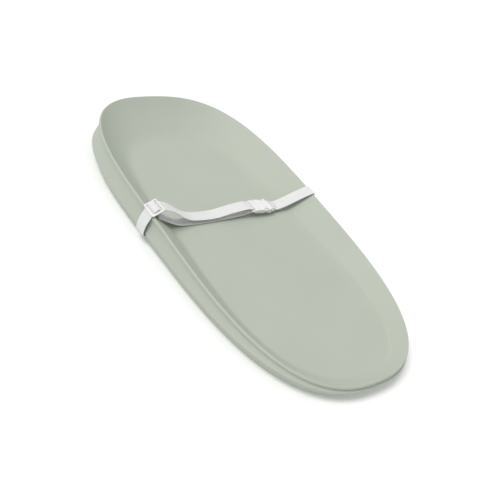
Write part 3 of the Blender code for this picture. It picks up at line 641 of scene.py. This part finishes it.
def build_pad(material):
    under, under_reach = under_rows()
    side, side_reach = side_rows()
    dish = dish_rows()
    profile = under + side + dish[:1]
    sharp = np.clip(dish[0][:, 0] / CREST_SHARP_AT, 0.0, 1.0)
    crest_reach = CREST_RADIUS - CREST_SHARPENING * sharp
    body = rounded(profile + dish[1:2], under_reach + side_reach + [crest_reach, 0.0])
    rows = field_rows() + body[:-1] + dish[1:]
    shift = UNDER_RINGS[-1][0]
    low_pole = (shift, 0.0, WAVE_LEVEL + WAVE_HEIGHT)
    pad = loft("pad_skin", rows, low_pole, (0.0, 0.0, FLOOR_MIDDLE))
    finish_normals(pad)
    outer = PAD_WIDTH / 2.0 - POCKET_INSET
    inner = outer - POCKET_WIDTH
    slot_foot = STRAP_X - WEB_WIDTH / 2.0 - SLOT_ROOM_FOOT
    slot_head = STRAP_X + WEB_WIDTH / 2.0 + SLOT_ROOM_HEAD
    for name, sign in (("left", 1.0), ("right", -1.0)):
        span = (STRAP_X - POCKET_HALF, STRAP_X + POCKET_HALF)
        pocket = side_tool(
            name, span, (inner, outer), (-OVERRUN, POCKET_TOP), sign, POCKET_ROUNDING
        )
        slot = side_tool(
            name + "_slot",
            (slot_foot, slot_head),
            (outer - OVERRUN, PAD_WIDTH / 2.0 + OVERRUN),
            (SLOT_LOW, SLOT_LOW + SLOT_HEIGHT),
            sign,
            SLOT_ROUNDING,
        )
        carve(pocket, slot, "UNION")
        carve(pad, pocket, "DIFFERENCE")
        for way in (1.0, -1.0):
            middle = STRAP_X + way * RIB_OFFSET
            rib = side_tool(
                name + "_rib",
                (middle - RIB_THICKNESS / 2.0, middle + RIB_THICKNESS / 2.0),
                (inner - RIB_ROOT_IN, outer + RIB_ROOT_OUT),
                (RIB_BOTTOM, RIB_TOP),
                sign,
                RIB_ROUNDING,
            )
            carve(pad, rib, "UNION")
    finish_normals(pad)
    soften(pad, SMOOTH_FOAM)
    mark_parting_line(pad)
    pad.data.materials.clear()
    pad.data.materials.append(material)
    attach(pad, "pad")
    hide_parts("pad_shell")
    return pad


# Woven polyester webbing: matt, with lengthwise ribs of warp crossed by picks.
def webbing_cloth():
    material, tree, shader = new_material("woven_polyester_webbing")
    place = put(tree, "ShaderNodeUVMap", uv_map="weave").outputs["UV"]
    parts = put(tree, "ShaderNodeSeparateXYZ", {"Vector": place}).outputs
    # the picks lean one way and the other on every second rib of the warp
    rib = maths(tree, "MULTIPLY", parts["X"], 2.0 * math.pi / WARP_PITCH)
    rib_wave = maths(tree, "COSINE", rib)
    side_wave = maths(tree, "SINE", maths(tree, "MULTIPLY", rib, 0.5))
    pick = maths(tree, "MULTIPLY", parts["Y"], 2.0 * math.pi / PICK_PITCH)
    lean = maths(tree, "MULTIPLY", side_wave, PICK_LEAN)
    pick_wave = maths(tree, "SINE", maths(tree, "ADD", pick, lean))
    weave = maths(tree, "MULTIPLY_ADD", rib_wave, WARP_SHARE, pick_wave)
    reach = 1.0 + WARP_SHARE
    span = {"Value": weave, "From Min": -reach, "From Max": reach}
    level = put(tree, "ShaderNodeMapRange", span).outputs["Result"]
    tone = mixed(tree, level, colour("D8D8D7"), colour("E9E9E8"))
    tree.links.new(tone, shader.inputs["Base Color"])
    tree.links.new(bumped(tree, level, 0.5, 0.00015), shader.inputs["Normal"])
    shader.inputs["Roughness"].default_value = 0.85
    shader.inputs["Sheen Weight"].default_value = 0.25
    shader.inputs["Sheen Roughness"].default_value = 0.5
    let_light_in(shader, 0.35, 0.002)
    return material


# Acetal, injection moulded: white and slightly see-through at its edges, with the soft
# gloss of a fine spark eroded mould.
def white_acetal():
    material, tree, shader = new_material("injection_moulded_acetal")
    place = put(tree, "ShaderNodeTexCoord").outputs["Object"]
    flow = put(tree, "ShaderNodeTexNoise", {"Vector": place, "Scale": 70.0, "Detail": 2.0})
    tone = mixed(tree, flow.outputs["Fac"], colour("E6E6E5"), colour("EDEDEC"))
    tree.links.new(tone, shader.inputs["Base Color"])
    # spark erosion grain, 0.25 mm
    grain = put(tree, "ShaderNodeTexNoise", {"Vector": place, "Scale": 4000.0})
    rough = mapped(tree, grain.outputs["Fac"], 0.28, 0.40)
    tree.links.new(rough, shader.inputs["Roughness"])
    tree.links.new(bumped(tree, grain.outputs["Fac"], 0.2, 0.00003), shader.inputs["Normal"])
    shader.inputs["IOR"].default_value = 1.48
    let_light_in(shader, 0.15, 0.001)
    return material


# Bonded polyester thread, twisted: a low sheen along each stitch.
def sewing_thread():
    material, tree, shader = new_material("twisted_polyester_thread")
    place = put(tree, "ShaderNodeTexCoord").outputs["Object"]
    # twist of 0.8 mm
    twist = put(
        tree,
        "ShaderNodeTexWave",
        {"Vector": place, "Scale": 390.0, "Distortion": 0.5},
        bands_direction="DIAGONAL",
    )
    tone = mixed(tree, twist.outputs["Fac"], colour("DADAD7"), colour("EDEDEB"))
    tree.links.new(tone, shader.inputs["Base Color"])
    tree.links.new(bumped(tree, twist.outputs["Fac"], 0.4, 0.0001), shader.inputs["Normal"])
    shader.inputs["Roughness"].default_value = 0.6
    shader.inputs["Sheen Weight"].default_value = 0.2
    return material


# Middle line of a CAD strip of webbing in Y and Z, from its foot side edge
def middle_line(node):
    bm = bmesh.new()
    bm.from_mesh(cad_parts[node].data)
    bmesh.ops.remove_doubles(bm, verts=bm.verts, dist=WELD)
    low = min(vert.co.x for vert in bm.verts)
    edge_faces = set()
    for face in bm.faces:
        if all(abs(vert.co.x - low) < WELD for vert in face.verts):
            edge_faces.add(face)
    after = {}
    for face in edge_faces:
        for loop in face.loops:
            shared = [near for near in loop.edge.link_faces if near in edge_faces]
            if len(shared) == 1:
                after[loop.vert] = loop.link_loop_next.vert
    start = next(iter(after))
    ring = [start]
    while after[ring[-1]] is not start:
        ring.append(after[ring[-1]])
    places = np.array([(vert.co.y, vert.co.z) for vert in ring])
    bm.free()
    count = len(places) // 2
    best = None
    for shift in range(count):
        turned = np.roll(places, -shift, axis=0)
        across = turned[:count] - turned[count:][::-1]
        spread = np.linalg.norm(across, axis=1).sum()
        if best is None or spread < best[0]:
            best = (spread, (turned[:count] + turned[count:][::-1]) / 2.0)
    return best[1]


# The same line with even, finer steps on a smooth curve through its points
def fine_line(points, step, reach):
    ends = points[[0, -1]] - points[[1, -2]]
    ends /= np.linalg.norm(ends, axis=1)[:, None]
    points = points.copy()
    points[0] += ends[0] * reach
    points[-1] += ends[1] * reach
    gaps = np.linalg.norm(np.diff(points, axis=0), axis=1)
    along = np.concatenate([[0.0], np.cumsum(gaps)])
    slopes = np.empty_like(points)
    slopes[1:-1] = (points[2:] - points[:-2]) / (along[2:] - along[:-2])[:, None]
    slopes[0] = (points[1] - points[0]) / gaps[0]
    slopes[-1] = (points[-1] - points[-2]) / gaps[-1]
    marks = np.linspace(0.0, along[-1], max(3, math.ceil(along[-1] / step) + 1))
    index = np.clip(np.searchsorted(along, marks, side="right") - 1, 0, len(points) - 2)
    span = gaps[index]
    t = ((marks - along[index]) / span)[:, None]
    span = span[:, None]
    line = (2 * t**3 - 3 * t**2 + 1) * points[index]
    line += (t**3 - 2 * t**2 + t) * span * slopes[index]
    line += (3 * t**2 - 2 * t**3) * points[index + 1]
    line += (t**3 - t**2) * span * slopes[index + 1]
    return line, marks


# Section of the webbing: flat faces and rounded selvedges, as across and over
def web_section():
    half = WEB_WIDTH / 2.0
    edge = WEB_THICKNESS / 2.0
    flat = np.linspace(half - edge, -(half - edge), WEB_FLAT_POINTS)
    section = [(x, edge) for x in flat]
    for turn in (120.0, 150.0, 180.0, 210.0, 240.0):
        angle = math.radians(turn)
        section.append((-(half - edge) + edge * math.cos(angle), edge * math.sin(angle)))
    section += [(x, -edge) for x in flat[::-1]]
    for turn in (-60.0, -30.0, 0.0, 30.0, 60.0):
        angle = math.radians(turn)
        section.append((half - edge + edge * math.cos(angle), edge * math.sin(angle)))
    return section


def webbing(node, material, step=WEB_STEP):
    line, marks = fine_line(middle_line(node), step, WEB_END_REACH)
    way = np.gradient(line, axis=0)
    way /= np.linalg.norm(way, axis=1)[:, None]
    section = web_section()
    count = len(section)
    bm = bmesh.new()
    weave = bm.loops.layers.uv.new("weave")
    rows = []
    for (y, z), (way_y, way_z) in zip(line, way):
        row = []
        for across, over in section:
            place = (STRAP_X + across, y - way_z * over, z + way_y * over)
            row.append(bm.verts.new(place))
        rows.append(row)
    for index in range(len(rows) - 1):
        for side in range(count):
            after = (side + 1) % count
            corners = (
                (index, side),
                (index, after),
                (index + 1, after),
                (index + 1, side),
            )
            face = bm.faces.new([rows[row][place] for row, place in corners])
            for loop, (row, place) in zip(face.loops, corners):
                loop[weave].uv = (section[place][0], marks[row])
    for row, mark in ((rows[0], marks[0]), (rows[-1], marks[-1])):
        face = bm.faces.new(row)
        for loop, (across, over) in zip(face.loops, section):
            loop[weave].uv = (across, mark)
    bmesh.ops.recalc_face_normals(bm, faces=bm.faces)
    name = node + "_webbing"
    mesh = close_mesh(bm, name)
    mesh.materials.append(material)
    item = add_object(name, mesh)
    soften(item, SMOOTH_CLOTH)
    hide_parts(node)
    return item


def build_strap(material):
    for node in ("strap_right_side", "strap_under_pad", "strap_left_side"):
        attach(webbing(node, material), "pad")
    run = webbing("strap_slider_run", material, WEB_FINE_STEP)
    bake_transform(run)
    upper = webbing("strap_upper_layer", material)
    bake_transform(upper)
    sewn = webbing("strap_sewn_layer", material)
    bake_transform(sewn)
    loop = webbing("strap_buckle_loop", material)
    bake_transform(loop)


# A plate with its outline's corners rounded, from one level to the other
def rounded_plate(name, half, levels, corner, rounding):
    bm = bmesh.new()
    ring = []
    for turn, (way_x, way_y) in enumerate(((1, 1), (-1, 1), (-1, -1), (1, -1))):
        middle_x = way_x * (half[0] - corner)
        middle_y = way_y * (half[1] - corner)
        for step in range(CORNER_STEPS + 1):
            angle = math.radians(90.0 * turn + 90.0 * step / CORNER_STEPS)
            x = middle_x + corner * math.cos(angle)
            ring.append(bm.verts.new((x, middle_y + corner * math.sin(angle), levels[0])))
    face = bm.faces.new(ring)
    grown = bmesh.ops.extrude_face_region(bm, geom=[face])
    for part in grown["geom"]:
        if isinstance(part, bmesh.types.BMVert):
            part.co.z = levels[1]
    bmesh.ops.recalc_face_normals(bm, faces=bm.faces)
    round_edges(bm, level_edges(bm), rounding)
    return add_object(name, close_mesh(bm, name))


def upright_rod(name, place, radius, levels, rounding=0.0):
    bm = bmesh.new()
    bmesh.ops.create_cone(
        bm,
        cap_ends=True,
        segments=ROD_POINTS,
        radius1=radius,
        radius2=radius,
        depth=levels[1] - levels[0],
    )
    if rounding > 0.0:
        round_edges(bm, level_edges(bm), rounding)
    lift = Vector((place[0], place[1], (levels[0] + levels[1]) / 2.0))
    bmesh.ops.translate(bm, verts=bm.verts, vec=lift)
    return add_object(name, close_mesh(bm, name))


# Box of the buckle: across from the strap's middle, along from the mouth, and over
def buckle_box(name, across, along, over, rounding):
    low = (STRAP_X + across[0], MOUTH - along[1], BUCKLE_PIVOT.z + over[0])
    high = (STRAP_X + across[1], MOUTH - along[0], BUCKLE_PIVOT.z + over[1])
    return box(name, low, high, rounding)


def finish_plastic(item, move, material, body, node=None):
    finish_normals(item)
    item.data.transform(move)
    soften(item, SMOOTH_PLASTIC)
    item.data.materials.clear()
    item.data.materials.append(material)
    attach(item, body)
    if node:
        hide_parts(node)


def buckle_turn():
    turn = Matrix.Rotation(BUCKLE_TILT, 4, "X")
    return Matrix.Translation(BUCKLE_PIVOT) @ turn @ Matrix.Translation(-BUCKLE_PIVOT)


# Bar that the webbing turns round, on a pair of cheeks
def add_bar(item, reach, gap):
    span = (-BAR_SPAN, BAR_SPAN)
    bar = buckle_box("bar", span, reach, (-BAR_HALF, BAR_HALF), BAR_ROUNDING)
    through = (-OVERRUN, OVERRUN)
    room = buckle_box("bar_room", (-BAR_ROOM, BAR_ROOM), gap, through, BAR_ROOM_ROUNDING)
    carve(bar, room, "DIFFERENCE")
    carve(item, bar, "UNION")


def female_half(material):
    span = (-BUCKLE_HALF, BUCKLE_HALF)
    over = (-SHELL_HALF, SHELL_HALF)
    shell = buckle_box("female_half", span, (0.0, SHELL_LENGTH), over, SHELL_ROUNDING)
    reach = (SHELL_LENGTH - LIP_LENGTH, SHELL_LENGTH)
    lip = buckle_box("lip", span, reach, (-SHELL_HALF, LIP_HEIGHT), LIP_ROUNDING)
    carve(shell, lip, "UNION")
    line = buckle_box(
        "line",
        (-BUCKLE_HALF - LINE_OVERRUN, BUCKLE_HALF + LINE_OVERRUN),
        (LINE_START, LINE_START + LINE_WIDTH),
        (SHELL_HALF - LINE_DEPTH, SHELL_HALF + LINE_OVERRUN),
        0.0,
    )
    carve(shell, line, "DIFFERENCE")
    middle = MOUTH - WINDOW_MIDDLE
    for sign in (1.0, -1.0):
        place = (STRAP_X + sign * (BUCKLE_HALF + WINDOW_OUT), middle)
        levels = (BUCKLE_PIVOT.z - OVERRUN, BUCKLE_PIVOT.z + OVERRUN)
        window = upright_rod("window", place, WINDOW_RADIUS, levels)
        carve(shell, window, "DIFFERENCE")
    cavity = buckle_box(
        "cavity",
        (-CAVITY_HALF, CAVITY_HALF),
        (-OVERRUN, CAVITY_LENGTH),
        (-SHELL_CAVITY, SHELL_CAVITY),
        CAVITY_ROUNDING,
    )
    carve(shell, cavity, "DIFFERENCE")
    add_bar(shell, FEMALE_BAR_REACH, FEMALE_BAR_GAP)
    finish_plastic(shell, buckle_turn(), material, "pad", "female_buckle")


def male_half(material):
    span = (-BUCKLE_HALF, BUCKLE_HALF)
    over = (-BASE_HALF, BASE_HALF)
    base = buckle_box("male_half", span, (-BASE_LENGTH, -MOUTH_GAP), over, SHELL_ROUNDING)
    # finger rest pressed into the top
    rest = buckle_box(
        "rest",
        (-FINGER_REST_HALF, FINGER_REST_HALF),
        FINGER_REST_REACH,
        (BASE_HALF - FINGER_REST_DEPTH, OVERRUN),
        FINGER_REST_ROUNDING,
    )
    carve(base, rest, "DIFFERENCE")
    add_bar(base, MALE_BAR_REACH, MALE_BAR_GAP)
    guide = buckle_box(
        "guide",
        (-GUIDE_HALF, GUIDE_HALF),
        (-GUIDE_ROOT, GUIDE_LENGTH),
        (-GUIDE_LEVEL, GUIDE_LEVEL),
        GUIDE_ROUNDING,
    )
    carve(base, guide, "UNION")
    finish_plastic(base, buckle_turn(), material, "male_half", "male_buckle")


# Rounded press pad on each spring arm, with a row of grip ribs round its outer face
def press_pad(sign, body, material):
    level = BUCKLE_PIVOT.z
    levels = (level - PRESS_LEVEL, level + PRESS_LEVEL)
    place = (STRAP_X + sign * PRESS_MIDDLE, MOUTH - WINDOW_MIDDLE)
    pad = upright_rod(body + "_press_pad", place, PRESS_RADIUS, levels, PRESS_ROUNDING)
    inner = sorted((sign * (PRESS_MIDDLE + PRESS_TRIM), sign * (PRESS_MIDDLE - OVERRUN)))
    trim = buckle_box("trim", inner, (0.0, PRESS_TRIM_LENGTH), (-OVERRUN, OVERRUN), 0.0)
    carve(pad, trim, "DIFFERENCE")
    ribs = bmesh.new()
    ribs.from_mesh(pad.data)
    length = 2.0 * PRESS_LEVEL - GRIP_SHORTER
    rib = rod_row("grip_rib", material, Count=1, Length=length, Radius=GRIP_RADIUS)
    for step in range(GRIP_COUNT):
        angle = math.radians(GRIP_FIRST + GRIP_TURN * step)
        out = PRESS_RADIUS - GRIP_SINK
        x = place[0] + sign * out * math.cos(angle)
        spot = Vector((x, place[1] + out * math.sin(angle), level))
        turn = Matrix.Rotation(math.radians(90.0), 4, "X")
        copy = rib.copy()
        copy.transform(Matrix.Translation(spot) @ turn)
        ribs.from_mesh(copy)
        bpy.data.meshes.remove(copy)
    ribs.to_mesh(pad.data)
    ribs.free()
    pad.data.transform(buckle_turn())
    soften(pad, SMOOTH_PLASTIC)
    pad.data.materials.clear()
    pad.data.materials.append(material)
    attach(pad, body)


def slider_frame(material):
    body = rounded_plate(
        "slider_frame", SLIDER_HALF, SLIDER_LEVELS, SLIDER_CORNER, SLIDER_ROUNDING
    )
    half_x, half_y = SLIDER_HALF
    for sign in (1.0, -1.0):
        ends = sorted((sign * SLIDER_BAR_HALF, sign * (half_y - SLIDER_RIM)))
        low = (-half_x + SLIDER_SIDE_RIM, ends[0], -OVERRUN)
        high = (half_x - SLIDER_SIDE_RIM, ends[1], OVERRUN)
        window = box("slider_window", low, high, SLIDER_WINDOW_ROUNDING)
        carve(body, window, "DIFFERENCE")
    room = (half_x - SLIDER_SIDE_RIM, half_y - SLIDER_RIM)
    low = (-room[0], -room[1], SLIDER_BAR_TOP)
    carve(body, box("bar_top", low, (room[0], room[1], OVERRUN)), "DIFFERENCE")
    turn = Matrix.Rotation(-SLIDER_TILT, 4, "X")
    finish_plastic(body, Matrix.Translation(SLIDER_PLACE) @ turn, material, "slider", "slider")


# Geometry Nodes group: a row of short arched rods that lean one way and the other in turn
def rod_row_group():
    tree = bpy.data.node_groups.new("rod_row", "GeometryNodeTree")
    face = tree.interface
    kinds = {
        "Count": "NodeSocketInt",
        "Pitch": "NodeSocketFloat",
        "Length": "NodeSocketFloat",
        "Radius": "NodeSocketFloat",
        "Arch": "NodeSocketFloat",
        "Lean": "NodeSocketFloat",
        "Material": "NodeSocketMaterial",
    }
    for name, kind in kinds.items():
        face.new_socket(name, in_out="INPUT", socket_type=kind)
    face.new_socket("Geometry", in_out="OUTPUT", socket_type="NodeSocketGeometry")
    given = put(tree, "NodeGroupInput").outputs
    gaps = maths(tree, "SUBTRACT", given["Count"], 1.0)
    half = maths(tree, "MULTIPLY", maths(tree, "MULTIPLY", gaps, given["Pitch"]), -0.5)
    start = put(tree, "ShaderNodeCombineXYZ", {"X": half}).outputs[0]
    step = put(tree, "ShaderNodeCombineXYZ", {"X": given["Pitch"]}).outputs[0]
    line = put(
        tree,
        "GeometryNodeMeshLine",
        {"Count": given["Count"], "Start Location": start, "Offset": step},
        mode="OFFSET",
    )
    near = maths(tree, "MULTIPLY", given["Length"], -0.5)
    far = maths(tree, "MULTIPLY", given["Length"], 0.5)
    rise = maths(tree, "MULTIPLY", given["Arch"], 2.0)
    path = put(
        tree,
        "GeometryNodeCurveQuadraticBezier",
        {
            "Resolution": 6,
            "Start": put(tree, "ShaderNodeCombineXYZ", {"Y": near}).outputs[0],
            "Middle": put(tree, "ShaderNodeCombineXYZ", {"Z": rise}).outputs[0],
            "End": put(tree, "ShaderNodeCombineXYZ", {"Y": far}).outputs[0],
        },
    )
    ring = put(
        tree, "GeometryNodeCurvePrimitiveCircle", {"Resolution": 8, "Radius": given["Radius"]}
    )
    rod = put(
        tree,
        "GeometryNodeCurveToMesh",
        {"Curve": path.outputs[0], "Profile Curve": ring.outputs["Curve"], "Fill Caps": True},
    )
    odd = maths(tree, "MODULO", put(tree, "GeometryNodeInputIndex").outputs[0], 2.0)
    side = maths(tree, "MULTIPLY_ADD", odd, 2.0, -1.0)
    lean = maths(tree, "MULTIPLY", side, given["Lean"])
    turn = put(tree, "ShaderNodeCombineXYZ", {"Z": lean})
    placed = put(
        tree,
        "GeometryNodeInstanceOnPoints",
        {"Points": line.outputs[0], "Instance": rod.outputs[0], "Rotation": turn.outputs[0]},
    )
    real = put(tree, "GeometryNodeRealizeInstances", {"Geometry": placed.outputs[0]})
    coated = put(
        tree,
        "GeometryNodeSetMaterial",
        {"Geometry": real.outputs[0], "Material": given["Material"]},
    )
    put(tree, "NodeGroupOutput", {"Geometry": coated.outputs[0]})
    return tree


# Mesh of one row from the group, in its own frame
def rod_row(name, material, **values):
    tree = bpy.data.node_groups.get("rod_row") or rod_row_group()
    item = add_object(name, bpy.data.meshes.new(name))
    step = item.modifiers.new("rods", "NODES")
    step.node_group = tree
    values["Material"] = material
    for socket in tree.interface.items_tree:
        if socket.in_out == "INPUT" and socket.name in values:
            step[socket.identifier] = values[socket.name]
    depsgraph = bpy.context.evaluated_depsgraph_get()
    mesh = bpy.data.meshes.new_from_object(item.evaluated_get(depsgraph))
    bpy.data.objects.remove(item, do_unlink=True)
    return mesh


# Bar tacks in place of the CAD's zigzag: two dense bars of stitches across the webbing
def bar_tacks(node, body, material):
    places = np.array([vert.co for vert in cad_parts[node].data.vertices])
    middle = Vector((places.min(axis=0) + places.max(axis=0)) / 2.0)
    spread = places[:, 1:] - places[:, 1:].mean(axis=0)
    way = np.linalg.svd(spread, full_matrices=False)[2][0]
    way = way if way[0] > 0.0 else -way
    reach = float(np.ptp(spread @ way))
    along = Vector((0.0, way[0], way[1]))
    across = Vector((1.0, 0.0, 0.0))
    over = across.cross(along)
    row = rod_row(
        node + "_row",
        material,
        Count=TACK_COUNT,
        Pitch=TACK_PITCH,
        Length=TACK_LENGTH,
        Radius=TACK_THREAD / 2.0,
        Arch=TACK_THREAD / 2.0,
        Lean=math.atan2(TACK_PITCH, TACK_LENGTH),
    )
    bm = bmesh.new()
    for sign in (-0.5, 0.5):
        copy = row.copy()
        spot = middle + along * (sign * (reach - TACK_LENGTH)) - over * TACK_SINK
        turn = Matrix((across, along, over)).transposed().to_4x4()
        copy.transform(Matrix.Translation(spot) @ turn)
        bm.from_mesh(copy)
        bpy.data.meshes.remove(copy)
    mesh = close_mesh(bm, node + "_stitches")
    mesh.materials.append(material)
    item = add_object(node + "_stitches", mesh)
    soften(item, SMOOTH_CLOTH)
    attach(item, body)
    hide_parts(node)


# Camera of the photograph, fitted to the outline, the crest and the strap
CAMERA_TURN = -143.0589
CAMERA_ELEVATION = 34.6169
CAMERA_ROLL = 26.2601
CAMERA_DISTANCE = 1.5772
CAMERA_SHIFT = (0.0187, -0.0132)
CAMERA_LENS = 57.71
SENSOR_WIDTH = 36.0


def build_camera():
    turn = math.radians(CAMERA_TURN)
    rise = math.radians(CAMERA_ELEVATION)
    roll = math.radians(CAMERA_ROLL)
    level = math.cos(rise)
    back = Vector((math.sin(turn) * level, -math.cos(turn) * level, math.sin(rise)))
    right = Vector((math.cos(turn), math.sin(turn), 0.0))
    up = back.cross(right)
    rolled = math.cos(roll) * right + math.sin(roll) * up
    over = math.cos(roll) * up - math.sin(roll) * right
    place = rolled * CAMERA_SHIFT[0] + over * CAMERA_SHIFT[1] + back * CAMERA_DISTANCE
    lens = bpy.data.cameras.new("camera")
    lens.lens = CAMERA_LENS
    lens.sensor_width = SENSOR_WIDTH
    item = add_object("camera", lens)
    turned = Matrix((rolled, over, back)).transposed().to_4x4()
    item.matrix_world = Matrix.Translation(place) @ turned
    bpy.context.scene.camera = item


# Light: the floor's own tone and glow for rays that aren't the camera's, the strength of
# the surroundings at the level of the table and above, and the soft key light
WHITE = (1.0, 1.0, 1.0, 1.0)
FLOOR_HALF = 6.0
FLOOR_TONE = 0.25
FLOOR_GLOW = 0.68
WORLD_LOW = 0.22
WORLD_HIGH = 0.80
KEY_STRENGTH = 1.7
KEY_SPREAD = math.radians(28.0)
KEY_WAY = Vector((0.12, 0.64, 1.0))


# A plain matt floor that is white to the camera and keeps the mat's shadow
def build_floor():
    material, tree, shader = new_material("plain_pale_floor")
    path = put(tree, "ShaderNodeLightPath").outputs
    seen = maths(tree, "MAXIMUM", path["Is Camera Ray"], path["Is Glossy Ray"])
    tone = mixed(tree, seen, (FLOOR_TONE, FLOOR_TONE, FLOOR_TONE, 1.0), WHITE)
    tree.links.new(tone, shader.inputs["Base Color"])
    # a table lit from below, so that the mat's underside and low band aren't black
    glow = mapped(tree, seen, FLOOR_GLOW, 0.0)
    tree.links.new(glow, shader.inputs["Emission Strength"])
    shader.inputs["Emission Color"].default_value = WHITE
    shader.inputs["Roughness"].default_value = 1.0
    shader.inputs["Specular IOR Level"].default_value = 0.0
    mesh = bpy.data.meshes.new("floor")
    half = FLOOR_HALF
    corners = [(-half, -half, 0.0), (half, -half, 0.0), (half, half, 0.0), (-half, half, 0.0)]
    mesh.from_pydata(corners, [], [(0, 1, 2, 3)])
    mesh.materials.append(material)
    item = add_object("floor", mesh)


def build_light():
    world = bpy.data.worlds.new("studio")
    world.use_nodes = True
    bpy.context.scene.world = world
    tree = world.node_tree
    backdrop = tree.nodes["Background"]
    path = put(tree, "ShaderNodeLightPath").outputs
    seen = maths(tree, "MAXIMUM", path["Is Camera Ray"], path["Is Glossy Ray"])
    through = maths(tree, "MAXIMUM", seen, path["Is Transmission Ray"])
    # softboxes overhead and less light from the level of the table
    way = put(tree, "ShaderNodeTexCoord").outputs["Generated"]
    rise = put(tree, "ShaderNodeSeparateXYZ", {"Vector": way}).outputs["Z"]
    soft = mapped(tree, rise, WORLD_LOW, WORLD_HIGH)
    strength = put(tree, "ShaderNodeMix", {"Factor": through, "A": soft, "B": 1.0})
    backdrop.inputs["Color"].default_value = WHITE
    tree.links.new(strength.outputs["Result"], backdrop.inputs["Strength"])
    lamp = bpy.data.lights.new("soft_key", "SUN")
    lamp.energy = KEY_STRENGTH
    lamp.angle = KEY_SPREAD
    item = add_object("soft_key", lamp)
    item.rotation_euler = KEY_WAY.to_track_quat("Z", "Y").to_euler()


def main():
    foam = foam_skin()
    web = webbing_cloth()
    acetal = white_acetal()
    thread = sewing_thread()
    build_pad(foam)
    build_strap(web)
    female_half(acetal)
    male_half(acetal)
    slider_frame(acetal)
    for sign, node in ((1.0, "arm_head_side"), (-1.0, "arm_foot_side")):
        press_pad(sign, node, acetal)
        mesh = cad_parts[node].data
        mesh.materials.clear()
        mesh.materials.append(acetal)
    bar_tacks("tack_female_end", "pad", thread)
    bar_tacks("tack_slider_end", "slider", thread)
    build_camera()
    build_floor()
    build_light()
    bpy.context.scene.view_settings.view_transform = "Standard"


main()
